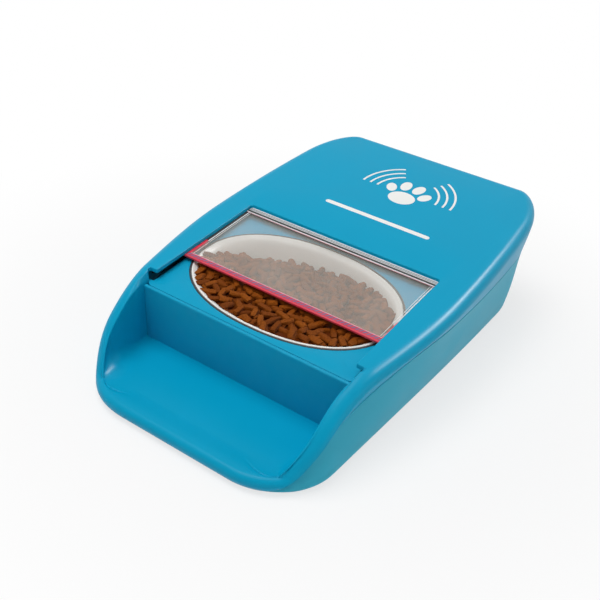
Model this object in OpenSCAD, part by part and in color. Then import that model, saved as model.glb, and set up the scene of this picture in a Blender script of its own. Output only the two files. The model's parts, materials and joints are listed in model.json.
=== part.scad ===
// Pet feeder with a powered sliding lid over a food bowl, in millimetres.
// The pet eats from the front (-Y). The floor is at z = 0, under the middle of the body.

/* [Body] */
// Length of the body from front lip to rear edge
body_l = 357; // [340:1:370]
// Half of the body's greatest width
body_half_w = 117; // [115:0.5:120]
// Slope of the deck, in degrees
deck_slope = 6.61; // [6:0.01:7.2]
// Height of the deck above the middle of the body
deck_z = 81.7; // [80:0.1:84]
// Thickness of the deck and of the upper skin
skin_t = 2.6; // [2.2:0.1:3]
// Height of the seam between upper and lower shell at the back
seam_z = 60.5; // [58:0.5:62]
// Radius of the rolled edge at the back
rim_r = 9; // [7:0.5:10]
// Radius of the rolled lip at the front
lip_r = 3.2; // [2.5:0.1:3.6]
// Height of the front lip
lip_z = 12.8; // [12:0.1:14]

/* [Tray] */
// Depth of the platform under the deck, measured square to the deck
platform_drop = 8.8; // [8.6:0.1:9.4]
// Position of the front edge of the platform, along the body
riser_y = -103.5; // [-104:0.5:-103]
// Half width of the tray at the riser
tray_half_w = 92; // [91:0.5:93]
// Radius of the fillet between tray floor and side walls, near the front corners
tray_fillet = 16; // [10:1:18]
// Radius of the same fillet where it meets the riser
tray_fillet_back = 3; // [2.4:0.1:4]

/* [Window and lid] */
// Half width of the opening over the bowl
window_half_w = 89; // [88.5:0.1:89.5]
// Distance of the opening's back edge from the riser, along the slope
window_s = 123.5; // [122:0.5:125]
// Distance of the lid's front edge from the riser as stored, along the slope
lid_rest_s = 40.4; // [38:0.1:42]
// Length of the lid
lid_l = 126; // [124:1:127]
// Thickness of the clear plate
plate_t = 2.2; // [1.8:0.1:2.4]

/* [Bowl] */
// Half length of the bowl's rim, across the body
bowl_a = 86.5; // [84:0.1:86.6]
// Half width of the bowl's rim, along the body
bowl_b = 55.9; // [54:0.1:56.5]
// Distance of the bowl's middle from the riser, along the slope
bowl_s = 62.5; // [62:0.1:64]
// Depth of the bowl
bowl_d = 38; // [32:1:42]

/* [Drive] */
// Tooth size of the rack and its pinions
rack_m = 1.0; // [1.0:0.1:1.0]
// Number of teeth on a rack pinion
pinion_n = 16; // [16:1:16]
// Tooth size of the gear train
train_m = 0.8; // [0.8:0.1:0.8]
// Diameter of the drive shaft
shaft_d = 4; // [3.8:0.1:4.2]

/* [Power] */
// Diameter of a battery cell
cell_d = 26.2; // [25.6:0.1:26.2]
// Length of a battery cell
cell_l = 50; // [48:0.5:50]

/* [Hidden] */
$fn = 48;

// Colours of the finishes
body_blue = [0.13, 0.64, 0.80];
side_blue = [0.20, 0.62, 0.74];
seal_red = [0.84, 0.18, 0.30];
dark = [0.08, 0.08, 0.09];
pale = [0.88, 0.89, 0.88];
steel = [0.72, 0.73, 0.75];

// Plan of the upper shell, as a half width that depends on the place along the body
y_front = -body_l / 2;
y_back = body_l / 2;
bulge_y = 5;
front_rx = 48;
front_ry = 43;
back_rx = 24;
back_ry = 52;
front_c = y_front + front_ry;
back_c = y_back - back_ry;
corner_steps = 6;
descent_steps = 8;
descent_end = -84;
side_steps = 6;
function half_w(y) = y > bulge_y ? body_half_w - 0.0004 * pow(y - bulge_y, 2)
    : body_half_w - 18 * (1 - cos(180 * (bulge_y - y) / 175)) / 2;
function corner_drop(q) = 1 - sqrt(max(0, 1 - pow(max(0, q), 2)));
function shell_x(y) = half_w(y) - front_rx * corner_drop((front_c - y) / front_ry)
    - back_rx * corner_drop((y - back_c) / back_ry);
shell_ys = concat(
    [for (i = [0:corner_steps - 1]) front_c - front_ry * cos(90 * i / corner_steps)],
    [for (i = [0:descent_steps]) front_c + (descent_end - front_c) * i / descent_steps],
    [for (i = [1:side_steps]) descent_end + (back_c - descent_end) * i / side_steps],
    [for (i = [1:corner_steps]) back_c + back_ry * sin(90 * i / corner_steps)]);
shell_plan = [for (y = shell_ys) [shell_x(y), y]];

// Plan of the lower shell at the height where its walls stand almost upright
base_half_w = 105;
base_front = y_front + 0.8;
base_back = y_back - 7;
base_corner = [51, 45];
base_rear_corner = [40, 46];
function base_x(y) = base_half_w - 0.00012 * pow(y, 2)
    - base_corner[0] * corner_drop((base_front + base_corner[1] - y) / base_corner[1])
    - base_rear_corner[0] * corner_drop((y - base_back + base_rear_corner[1]) / base_rear_corner[1]);
base_plan = [for (y = shell_ys)
    let(v = base_front + (base_back - base_front) * (y - y_front) / body_l) [base_x(v), v]];

// Plan of the tray, up to the riser
tray_front = y_front + 4.7;
tray_corner = [42, 39.8];
tray_c = tray_front + tray_corner[1];
tray_end = riser_y + 3.5;
function tray_x(y) = tray_half_w - 0.1 * (riser_y - y)
    - tray_corner[0] * corner_drop((tray_c - y) / tray_corner[1]);
tray_ys = concat(
    [for (i = [0:corner_steps - 1]) tray_c - tray_corner[1] * cos(90 * i / corner_steps)],
    [for (i = [0:5]) tray_c + (tray_end - tray_c) * i / 5]);
tray_plan = [for (y = tray_ys) [tray_x(y), y]];

// Outward direction at each point of a half plan
function unit(v) = v / norm(v);
function plan_normals(p, last) = [for (i = [0:len(p) - 1])
    i == 0 ? [0, -1] : i == len(p) - 1 ? last
    : let(t = unit(p[i + 1] - p[i - 1])) [t[1], -t[0]]];
shell_normals = plan_normals(shell_plan, [0, 1]);
base_normals = plan_normals(base_plan, [0, 1]);
tray_normals = plan_normals(tray_plan, [1, 0]);

// Heights along the body
function ease(u) = let(c = max(0, min(1, u))) 3 * c - 2 * pow(c, 1.5);
rim_start = -90;
rim_end = -162;
function deck_at(y) = deck_z + tan(deck_slope) * y;
function rim_at(y) = lip_z + (deck_at(y) - lip_z) * ease((y - rim_end) / (rim_start - rim_end));
seam_front = 6.6;
function seam_at(y) = seam_front + (seam_z - seam_front) * ease((y + 164) / 124);
function edge_r(y) = lip_r + (rim_r - lip_r) * ease((y + 168) / 70);
floor_front = 9.3;
floor_back = 12.9;
function floor_at(y) = floor_front + (floor_back - floor_front) * (y - tray_front) / (riser_y - tray_front);

// A ring is a half plan with a height at each point, mirrored to the left side
function mirror_half(h) = concat(h, [for (i = [len(h) - 1:-1:0]) [-h[i][0], h[i][1], h[i][2]]]);

// A closed solid through a stack of rings, capped across at the first and the last
module loft(rings) {
    m = len(rings[0]);
    h = m / 2;
    last = (len(rings) - 1) * m;
    walls = [for (k = [0:len(rings) - 2]) for (i = [0:m - 1])
        let(a = k * m + i, b = k * m + (i + 1) % m, c = (k + 1) * m + (i + 1) % m, d = (k + 1) * m + i)
        each [[a, d, c], [a, c, b]]];
    low = [for (i = [0:h - 2]) [i, i + 1, m - 2 - i, m - 1 - i]];
    high = [for (i = [0:h - 2]) [last + i, last + m - 1 - i, last + m - 2 - i, last + i + 1]];
    polyhedron(points = [for (r = rings) each r], faces = concat(low, walls, high), convexity = 6);
}

// Frame of everything that lies parallel to the deck: s along the slope, n square to it
riser_z = deck_at(riser_y) - platform_drop / cos(deck_slope);
module on_slope() {
    translate([0, riser_y, riser_z]) rotate([deck_slope, 0, 0]) children();
}
module slab(x, s, n) {
    translate([x[0], s[0], n[0]]) cube([x[1] - x[0], s[1] - s[0], n[1] - n[0]]);
}
module below_platform(n) {
    on_slope() translate([-200, -200, n]) cube([400, 600, 200]);
}
deck_n = platform_drop;
deck_under = deck_n - skin_t;
notch_y = -94.2;
window_y = riser_y + window_s * cos(deck_slope);

// Pan head screw standing on its tip, with its head down
module screw(l, head_d = 5.6, d = 2.9) {
    cylinder(d = head_d, h = 1.8);
    cylinder(d = d, h = l);
}

// Screw places, from the middle of the body
shell_screw_at = [[76, 156], [58, -128]];
carrier_screw_at = [[72, -84], [72, 6]];
boss_r = 4;
pilot_r = 1.55;
module both_sides(at) {
    for (p = at) for (side = [-1, 1]) translate([side * p[0], p[1], 0]) children();
}
boss_top = [98, 10];
boss_split = [20, 5];

// Rear buttons and lamp
button_x = 17;
button_z = 73;
button_r = 5;
button_face_y = 176.6;

// Battery door and cells
cell_z = 24.4;
cell_pitch = 26.8;
cell_y = 117.4;
door_half = 56.5;
door_low = 10.8;
hinge_y = 169.4;
hinge_z = 43.2;
pin_r = 1;
knuckle_half = 51.5;

// Upper shell: deck, rolled rim and scoop tray in one moulding
function shell_ring(o, d) = mirror_half([for (i = [0:len(shell_plan) - 1])
    let(r = edge_r(shell_plan[i][1]), q = shell_plan[i] + shell_normals[i] * (o[0] + o[1] * r))
    [q[0], q[1], rim_at(q[1]) - d[0] - d[1] * r]]);
function seam_ring(o, lift) = mirror_half([for (i = [0:len(shell_plan) - 1])
    let(w = ease((shell_plan[i][1] + 170) / 70), q = shell_plan[i] + shell_normals[i] * (o - 1 - 3 * w))
    [q[0], q[1], seam_at(q[1]) + lift]]);
fillet_run = 45;
function smooth(u) = let(c = max(0, min(1, u))) c * c * (3 - 2 * c);
function fillet_at(y) = tray_fillet_back
    + (tray_fillet - tray_fillet_back) * smooth((riser_y - 1.5 - y) / fillet_run);
function tray_ring(o, d, z_up, z_mix) = mirror_half([for (i = [0:len(tray_plan) - 1])
    let(y = tray_plan[i][1], h = rim_at(y) - floor_at(y), f = min(fillet_at(y), 0.85 * h),
        q = tray_plan[i] + tray_normals[i] * (o - d * f))
    [q[0], q[1], z_up + floor_at(q[1]) + z_mix * f]]);
function tray_top_ring(o, lift) = mirror_half([for (i = [0:len(tray_plan) - 1])
    let(y = tray_plan[i][1], q = tray_plan[i] + tray_normals[i] * o) [q[0], q[1], rim_at(y) + lift]]);
function tray_wall_top(o) = mirror_half([for (i = [0:len(tray_plan) - 1])
    let(y = tray_plan[i][1], q = tray_plan[i] + tray_normals[i] * o)
    [q[0], q[1], rim_at(y) - min(1.6, 0.1 * (rim_at(y) - floor_at(y)))]]);
seam_gap = 0.3;
module shell_skin() {
    loft([
        shell_ring([0, -1], [skin_t, 0]),
        shell_ring([-0.707 * skin_t, -0.293], [0.707 * skin_t, 0.293]),
        shell_ring([-skin_t, 0], [0.2, 1]),
        seam_ring(-3, seam_gap),
        seam_ring(0, seam_gap),
        shell_ring([-0.6, 0], [0, 1.5]),
        shell_ring([0, 0], [0, 1]),
        shell_ring([0, -0.134], [0, 0.5]),
        shell_ring([0, -0.5], [0, 0.134]),
        shell_ring([0, -1], [0, 0])]);
}
module tray_outside() {
    loft([
        tray_ring(0, 1, -2, 0),
        tray_ring(1, 0.5, -1.7, 0.134),
        tray_ring(1.7, 0.134, -1, 0.5),
        tray_ring(2, 0, 0, 1),
        tray_wall_top(2)]);
}
module tray_inside() {
    translate([0, 0.5, 0]) loft([
        tray_ring(0, 1, 0, 0),
        tray_ring(0, 0.5, 0, 0.134),
        tray_ring(0, 0.134, 0, 0.5),
        tray_ring(0, 0, 0, 1),
        tray_top_ring(0, 0),
        tray_top_ring(0, 20)]);
}
module window_cut() {
    translate([0, 0, riser_z - 8]) linear_extrude(80) polygon([
        [window_half_w, window_y], [-window_half_w, window_y], [-window_half_w, notch_y],
        [-tray_half_w - 0.9, notch_y - 1.6], [-tray_half_w - 0.9, riser_y - 0.3],
        [tray_half_w + 0.9, riser_y - 0.3], [tray_half_w + 0.9, notch_y - 1.6], [window_half_w, notch_y]]);
}
module top_shell() {
    color(body_blue) difference() {
        union() {
            shell_skin();
            tray_outside();
            for (k = [0:1]) both_sides([shell_screw_at[k]])
                translate([0, 0, boss_split[k]]) cylinder(r = boss_r, h = boss_top[k] - boss_split[k]);
            on_slope() rail_lug_places() translate([0, 0, 4.5]) cylinder(r = 2.9, h = 2.4);
        }
        tray_inside();
        window_cut();
        for (k = [0:1]) both_sides([shell_screw_at[k]])
            translate([0, 0, boss_split[k] - 1])
                cylinder(r = pilot_r, h = min(12, boss_top[k] - boss_split[k]));
        on_slope() rail_lug_places() translate([0, 0, 4]) cylinder(r = 1.3, h = 3.6);
        for (side = [-1, 1]) translate([side * button_x, 160, button_z]) rotate([-90, 0, 0])
            cylinder(r = button_r + 0.35, h = 30);
        translate([0, 160, button_z]) rotate([-90, 0, 0]) cylinder(r = 1.6, h = 30);
    }
}

// Lower shell: a pan with rounded lower edges that carries everything else
bottom_z = 1;
floor_t = 2.4;
wall_t = 2.2;
function base_ring(f, out, inset) = mirror_half([for (i = [0:len(shell_plan) - 1])
    let(w = ease((shell_plan[i][1] + 170) / 70),
        thick = inset * (0.3 + 0.7 * w),
        top = shell_plan[i] + shell_normals[i] * (-1 - 3 * w - thick),
        low = base_plan[i] + base_normals[i] * (out - thick),
        q = low + (top - low) * max(0, (f - 0.2) / 0.8))
    [q[0], q[1], bottom_z + (seam_at(q[1]) - bottom_z) * f]]);
function floor_ring(o, z) = mirror_half([for (i = [0:len(base_plan) - 1])
    let(q = base_plan[i] + base_normals[i] * o) [q[0], q[1], z]]);
module base_skin() {
    loft([
        floor_ring(-11, bottom_z),
        base_ring(0.05, -4.6, 0),
        base_ring(0.12, -1.6, 0),
        base_ring(0.22, 0, 0),
        base_ring(0.6, 1.2, 0),
        base_ring(1, 0, 0),
        base_ring(1, 0, wall_t),
        base_ring(0.6, 1.2, wall_t),
        base_ring(0.3, 0, wall_t),
        base_ring(0.2, -2.4, wall_t),
        floor_ring(-14, bottom_z + floor_t)]);
}
floor_top = bottom_z + floor_t;
foot_at = [[78, -138], [78, 136]];
foot_r = 7;
module door_frame() {
    difference() {
        translate([-door_half - 3.5, 164.6, door_low - 3.4])
            cube([2 * door_half + 7, 5, 46.6 - door_low + 6.4]);
        translate([-door_half, 160, door_low - 0.4]) cube([2 * door_half, 20, 46.6 - door_low]);
    }
}
module door_lugs() {
    for (side = [-1, 1]) translate([side * (knuckle_half + 0.4 + 2.4) - 2.4, 165, hinge_z - 3])
        cube([4.8, 6.6, 6.2]);
}
module base_shell() {
    color(side_blue) difference() {
        union() {
            difference() {
                base_skin();
                translate([-door_half, 160, door_low - 0.4]) cube([2 * door_half, 20, 46.6 - door_low]);
            }
            door_frame();
            door_lugs();
            for (k = [0:1]) both_sides([shell_screw_at[k]])
                translate([0, 0, 2]) cylinder(r = boss_r, h = boss_split[k] - 2.1);
            both_sides(carrier_screw_at) translate([0, 0, 2]) cylinder(r = boss_r, h = 7);
            for (p = board_holes) translate([p[0], p[1], 2]) cylinder(r = 3, h = board_z - 2);
            for (p = gearbox_feet) translate([p[0], p[1], 2]) cylinder(r = 3.4, h = gearbox_foot_z - 2);
        }
        both_sides(shell_screw_at) {
            translate([0, 0, -1]) cylinder(r = 1.75, h = 30);
            translate([0, 0, -1]) cylinder(r = 3.3, h = 3.5);
        }
        both_sides(carrier_screw_at) translate([0, 0, 4]) cylinder(r = pilot_r, h = 10);
        for (p = board_holes) translate([p[0], p[1], 3]) cylinder(r = 1.2, h = 20);
        for (p = gearbox_feet) translate([p[0], p[1], 3]) cylinder(r = pilot_r, h = 20);
        both_sides(foot_at) translate([0, 0, -1]) cylinder(r = foot_r + 0.15, h = 2.6);
        translate([-60, hinge_y, hinge_z]) rotate([0, 90, 0]) cylinder(r = pin_r + 0.02, h = 120);
    }
}

// Oval of the bowl, slightly squarer than an ellipse
oval_e = 2.2;
oval_n = 26;
function oval_half(a, b, z) = [for (i = [0:oval_n - 1]) let(t = -90 + 180 * (i + 0.5) / oval_n)
    [a * pow(cos(t), 2 / oval_e), b * sign(sin(t)) * pow(abs(sin(t)), 2 / oval_e), z]];
function oval_ring(s, z) = mirror_half(oval_half(bowl_a + s[0], bowl_b + s[1], z));
module oval_plate(grow, low, high) {
    translate([0, bowl_s, low]) linear_extrude(high - low)
        polygon([for (p = oval_ring([grow, grow], 0)) [p[0], p[1]]]);
}

// Inner moulding: riser at the back of the tray, and the frame that the platform lies in
riser_half = 91.4;
carrier_foot_z = 9.1;
bulkhead_y = [16.1, 18.5];
riser_face = -105.34;
riser_fillet = tray_fillet_back - 0.8;
riser_edge_r = 1.3;
riser_strip = 0.3;
module riser_board(y, depth) {
    low = 13.2;
    fillet_x = tray_half_w - tray_fillet_back;
    fillet_z = floor_back + tray_fillet_back;
    translate([-fillet_x, y, low]) cube([2 * fillet_x, depth, 60]);
    translate([-riser_half, y, fillet_z]) cube([2 * riser_half, depth, 60]);
    for (side = [-1, 1]) translate([side * fillet_x, y, fillet_z]) rotate([-90, 0, 0])
        cylinder(r = riser_fillet, h = depth);
}
module bowl_carrier() {
    color(body_blue) difference() {
        union() {
            riser_board(riser_face, 2.4);
            for (side = [-1, 1]) mirror([side < 0 ? 1 : 0, 0, 0]) {
                translate([87, -103, 30]) cube([2.2, 121.5, 60]);
                translate([87, -98, carrier_foot_z]) cube([2.2, 116.5, 22]);
                for (p = carrier_screw_at) translate([p[0] - 6, p[1] - 7, carrier_foot_z])
                    cube([22, 14, 2.4]);
            }
            translate([-89.2, bulkhead_y[0], carrier_foot_z]) cube([178.4, 2.4, 70]);
        }
        below_platform(-4.9);
        both_sides(carrier_screw_at) cylinder(r = 1.7, h = 30);
    }
    color(body_blue) on_slope() {
        slab([-riser_half, riser_half], [riser_edge_r - 2.2, riser_strip], [-5, 0]);
        slab([-riser_half, riser_half], [-2.2, riser_strip], [-5, -riser_edge_r]);
        translate([0, riser_edge_r - 2.2, -riser_edge_r])
            round_x(riser_edge_r, [-riser_half, riser_half]);
        slab([-riser_half, riser_half], [riser_strip - 0.1, 6], [-5, -2.45]);
        slab([-89.2, 89.2], [119.9, 122.2], [-5, -2.45]);
    }
}

// Panel round the bowl
platform_half = 90.2;
platform_s = [riser_strip + 0.3, 122];
module bowl_platform() {
    color(body_blue) on_slope() difference() {
        union() {
            slab([-platform_half, platform_half], platform_s, [-2.4, 0]);
            intersection() {
                oval_plate(3.3, -4, -2);
                slab([-platform_half, platform_half], [6.2, 119.7], [-5, 0]);
            }
        }
        oval_plate(1.65, -2.44, 1);
        oval_plate(-1.2, -5, 1);
    }
}
module bowl_gasket() {
    color(dark) on_slope() difference() {
        oval_plate(1.6, -2.4, 0.2);
        oval_plate(0.05, -1.45, 1);
        oval_plate(-2, -3, 1);
    }
}
module bowl() {
    color("white") on_slope() translate([0, bowl_s, 0]) loft([
        oval_ring([-27, -22], -bowl_d),
        oval_ring([-22, -17.4], 2.5 - bowl_d),
        oval_ring([-13, -10.6], -0.58 * bowl_d),
        oval_ring([-7, -5.6], -0.21 * bowl_d),
        oval_ring([-4.3, -4], -1.4),
        oval_ring([-0.6, -0.6], -1.4),
        oval_ring([0, 0], -0.7),
        oval_ring([-0.3, -0.3], 0.15),
        oval_ring([-0.9, -0.9], 0.4),
        oval_ring([-2.9, -2.6], 0.4),
        oval_ring([-3.8, -3.4], 0),
        oval_ring([-6, -5.4], -0.08 * bowl_d),
        oval_ring([-9.4, -7.8], -0.24 * bowl_d),
        oval_ring([-15.6, -13], -0.6 * bowl_d),
        oval_ring([-24.4, -19.6], 5 - bowl_d),
        oval_ring([-31, -25.4], 2.3 - bowl_d)]);
}

// Lid: clear plate in a frame that slides in two rails, with a seal on three sides
plate_n = [3, 3 + plate_t];
plate_half = 87;
seal_out = 89.65;
front_bar = 5;
rear_bar = 5;
frame_half = 97.6;
flange_start = 12;
frame_n = [2.9, 4.9];
plate_s = [lid_rest_s + front_bar + 0.05, lid_rest_s + lid_l - rear_bar - 0.05];
module lid_plate() {
    color([0.85, 0.93, 0.96, 0.4]) on_slope() slab([-plate_half, plate_half], plate_s, plate_n);
}
module lid_seal() {
    color(seal_red) on_slope() {
        slab([-92.3, 92.3], [lid_rest_s, lid_rest_s + front_bar], [0.8, plate_n[1]]);
        for (side = [-1, 1]) {
            slab([side * 88.35 - 1.25, side * 88.35 + 1.25], [lid_rest_s + front_bar - 1, plate_s[1]],
                [1.6, plate_n[1]]);
            slab([side * 90.9 - 1.4, side * 90.9 + 1.4], [lid_rest_s + 4, lid_rest_s + 5.9],
                [1.6, plate_n[1]]);
        }
    }
}
module lid_frame() {
    color(pale) on_slope() {
        for (side = [-1, 1]) mirror([side < 0 ? 1 : 0, 0, 0]) {
            slab([seal_out + 0.05, frame_half], [lid_rest_s + flange_start, lid_rest_s + lid_l], frame_n);
            slab([seal_out + 0.05, 93], [lid_rest_s + 6, lid_rest_s + flange_start + 1], frame_n);
        }
        slab([-90, 90], [plate_s[1] + 0.05, lid_rest_s + lid_l], [frame_n[0], plate_n[1]]);
        slab([-84, -79], [plate_s[1] + 0.05, lid_rest_s + lid_l], [1, frame_n[0] + 0.5]);
    }
}

// Gear teeth: involute flanks on a pitch circle, thinned a little for backlash
pressure = 20;
stub = 0.8;
clear_depth = 1;
backlash = 0.09;
function inv_angle(rb, r) = r <= rb ? 0 : let(a = acos(rb / r)) tan(a) * 180 / PI - a;
function half_tooth(z, m, r) = let(rp = m * z / 2, rb = rp * cos(pressure))
    90 / z - backlash / rp * 180 / PI + inv_angle(rb, rp) - inv_angle(rb, r);
function gear_points(z, m, phase) = let(rp = m * z / 2, rb = rp * cos(pressure),
        r0 = rp - clear_depth * m, r1 = rp + stub * m, low = max(r0, rb),
        rr = [r0, low, low + (r1 - low) * 0.3, low + (r1 - low) * 0.65, r1])
    [for (k = [0:z - 1]) for (j = [0:9]) let(i = j < 5 ? j : 9 - j,
        a = phase + 360 * k / z + (j < 5 ? -1 : 1) * half_tooth(z, m, rr[i])) rr[i] * [cos(a), sin(a)]];
module gear(z, m, phase, x, bore) {
    translate([x[0], 0, 0]) rotate([90, 0, 90]) difference() {
        linear_extrude(x[1] - x[0]) polygon(gear_points(z, m, phase));
        translate([0, 0, -1]) cylinder(r = bore, h = x[1] - x[0] + 2);
    }
}
module round_x(r, x) {
    translate([x[0], 0, 0]) rotate([0, 90, 0]) cylinder(r = r, h = x[1] - x[0]);
}

// Racks under the two sides of the lid, and the pinions under them
rack_x = [90.8, 95.2];
pinion_x = [90.3, 95.6];
pinion_r = rack_m * pinion_n / 2;
drive_s = 133;
drive_n = -3 - pinion_r;
rack_tail = 10;
rack_pitch = PI * rack_m;
rack_root_n = -3 + clear_depth * rack_m;
rack_s = [lid_rest_s + 6, lid_rest_s + lid_l + rack_tail];
rack_first = ceil((rack_s[0] + 2 - drive_s) / rack_pitch);
rack_last = floor((rack_s[1] - 3 - drive_s) / rack_pitch);
function flank(n) = rack_pitch / 4 - backlash + n * tan(pressure);
module rack_tooth() {
    polygon([[-flank(clear_depth + 0.3), 0.3], [-flank(-stub), -(clear_depth + stub) * rack_m],
        [flank(-stub), -(clear_depth + stub) * rack_m], [flank(clear_depth + 0.3), 0.3]]);
}
module rack(side) {
    color(dark) on_slope() translate([side > 0 ? rack_x[0] : -rack_x[1], 0, 0]) {
        slab([0, rack_x[1] - rack_x[0]], rack_s, [rack_root_n, frame_n[0] - 0.05]);
        for (k = [rack_first:rack_last]) translate([0, drive_s + rack_pitch * (k + 0.5), rack_root_n])
            rotate([90, 0, 90]) linear_extrude(rack_x[1] - rack_x[0]) rack_tooth();
    }
}
module rack_left() { rack(-1); }
module rack_right() { rack(1); }

// Rails that guide the lid, with the drive shaft's bearings
rail_x = [95.9, 98, 99.8];
rail_s = [14, 250];
lug_s = [60, 125, 190];
lug_x = 103;
high_s = [28, 232];
module rail_lug_places() {
    for (s = lug_s) for (side = [-1, 1]) translate([side * lug_x, s, 0]) children();
}
bush_r = 3;
module rail() {
    on_slope() difference() {
        union() {
            slab([rail_x[1], rail_x[2]], rail_s, [-1, 4.5]);
            slab([rail_x[1], rail_x[2]], high_s, [4, 6.1]);
            slab([rail_x[0], rail_x[1] + 0.1], high_s, [5.25, 6.1]);
            slab([rail_x[0], rail_x[1]], rail_s, [1.2, 2.55]);
            slab([97, rail_x[2]], [drive_s - 6, drive_s + 6], [drive_n - 5.5, 1.5]);
            for (s = lug_s) slab([rail_x[2] - 0.5, lug_x + 1.9], [s - 4, s + 4], [2, 4.4]);
        }
        translate([0, drive_s, drive_n]) round_x(bush_r + 0.02, [90, 104]);
        for (s = lug_s) translate([lug_x, s, 0]) cylinder(r = 1.6, h = 6);
    }
}
switch_x = [-85, -79];
switch_s = [142.5, 226];
switch_n = [-8, -2];
module rail_left() {
    color(dark) mirror([1, 0, 0]) rail();
    color(dark) on_slope() for (s = switch_s)
        slab([-98.5, switch_x[0] - 0.05], [s + 1, s + 11], [switch_n[0], -4.7]);
    color(dark) on_slope() for (s = switch_s) slab([-99.8, -98.2], [s + 1, s + 11], [switch_n[0], -0.5]);
}
module rail_right() { color(dark) rail(); }
module limit_switch(s) {
    color(dark) on_slope() {
        slab(switch_x, [s, s + 12], switch_n);
        slab([-83.5, -80.5], [s + 6, s + 9], [-2.2, -0.2]);
        slab([-83.5, -80.5], [s - 19, s + 9], [-0.4, 0.1]);
    }
}
module limit_switch_closed() { limit_switch(switch_s[0]); }
module limit_switch_open() { translate([0, 0.5, 0]) limit_switch(switch_s[1]); }

// Wiper under the deck's rear edge, which keeps crumbs out of the drive
module wiper_holder() {
    color(pale) on_slope() {
        slab([-88.6, 88.6], [117.4, 118.7], [5.65, 6.15]);
        slab([-88.6, 88.6], [120, 134], [5.65, 6.15]);
        slab([-88.6, -86.6], [118.6, 120.1], [5.65, 6.15]);
        slab([86.6, 88.6], [118.6, 120.1], [5.65, 6.15]);
    }
}
module wiper_blade() {
    color(dark) on_slope() slab([-86.5, 86.5], [118.75, 119.95], [5.5, 6.3]);
}

// Drive shaft across the body, with its pinions, gear and bushes
module at_drive() { on_slope() translate([0, drive_s, drive_n]) children(); }
shaft_r = shaft_d / 2;
bush_x = [96.3, 100];
module drive_shaft() { color(steel) at_drive() round_x(shaft_r, [-101, 101]); }
module pinion(x) { color(pale) at_drive() gear(pinion_n, rack_m, 90, x, shaft_r + 0.02); }
module pinion_left() { pinion([-pinion_x[1], -pinion_x[0]]); }
module pinion_right() { pinion(pinion_x); }
module bush(side) {
    color("goldenrod") at_drive() mirror([side < 0 ? 1 : 0, 0, 0]) difference() {
        union() {
            round_x(bush_r, bush_x);
            round_x(4.2, [bush_x[0], 96.95]);
        }
        round_x(shaft_r + 0.05, [90, 104]);
    }
}
module bush_left() { bush(-1); }
module bush_right() { bush(1); }

// Gear train: gear on the drive shaft, compound idler, pinion on the motor's shaft
shaft_gear_n = 24;
idler_small_n = 12;
idler_big_n = 28;
motor_pinion_n = 12;
idler_angle = -60;
motor_angle = -20;
idler_dist = train_m * (shaft_gear_n + idler_small_n) / 2;
motor_dist = train_m * (idler_big_n + motor_pinion_n) / 2;
module at_idler() {
    at_drive() translate([0, idler_dist * cos(idler_angle), idler_dist * sin(idler_angle)]) children();
}
module at_motor() {
    at_idler() translate([0, motor_dist * cos(motor_angle), motor_dist * sin(motor_angle)]) children();
}
axle_r = 1.5;
module shaft_gear() {
    color(pale) at_drive() gear(shaft_gear_n, train_m, idler_angle, [58, 64], shaft_r + 0.02);
}
module idler_gear() {
    color(pale) at_idler() {
        gear(idler_small_n, train_m, idler_angle + 180 + 180 / idler_small_n, [57.5, 65], axle_r + 0.06);
        gear(idler_big_n, train_m, motor_angle, [65, 70.6], axle_r + 0.06);
    }
}
module motor_pinion() {
    color(steel) at_motor() {
        gear(motor_pinion_n, train_m, motor_angle + 180 + 180 / motor_pinion_n, [64.6, 71.2], axle_r - 0.3);
        round_x(axle_r, [56.8, 72.4]);
    }
}
gearbox_plate_x = [[54, 56.4], [73, 75.4]];
gearbox_foot_z = 9;
gearbox_feet = [[50, 29], [50, 60], [79.6, 29], [79.6, 60]];
module idler_axle() {
    color(steel) at_idler() round_x(axle_r, [gearbox_plate_x[0][0] - 0.4, gearbox_plate_x[1][1] + 0.4]);
}
module gearbox_plate(x, foot_x) {
    difference() {
        union() {
            translate([x[0], 23.5, gearbox_foot_z]) cube([x[1] - x[0], 44.5, 60]);
            translate([foot_x[0], 23.5, gearbox_foot_z]) cube([foot_x[1] - foot_x[0], 44.5, 2.4]);
        }
        on_slope() translate([-200, -200, -13 - shaft_r]) cube([400, 315, 100]);
        on_slope() translate([-200, -200, -4]) cube([400, 600, 100]);
        at_drive() round_x(shaft_r + 0.6, [40, 90]);
        at_idler() round_x(axle_r + 0.02, [40, 90]);
        for (p = gearbox_feet) translate([p[0], p[1], 0]) cylinder(r = 1.7, h = 12);
    }
}
module gearbox_plate_inner() {
    color(steel) difference() {
        gearbox_plate(gearbox_plate_x[0], [45, 56.4]);
        at_motor() round_x(4.1, [40, 90]);
    }
}
module gearbox_plate_outer() { color(steel) gearbox_plate(gearbox_plate_x[1], [73, 84]); }
module motor() {
    color(steel) at_motor() {
        round_x(11, [26, 53.9]);
        round_x(10, [23.5, 26.1]);
        round_x(4, [53.8, 56.5]);
    }
}
module down_screw(z, l) {
    translate([0, 0, z]) rotate([180, 0, 0]) screw(l);
}
module gearbox_screws() {
    color(steel) for (p = gearbox_feet) translate([p[0], p[1], 0]) down_screw(gearbox_foot_z + 4.25, 9);
}

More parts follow.
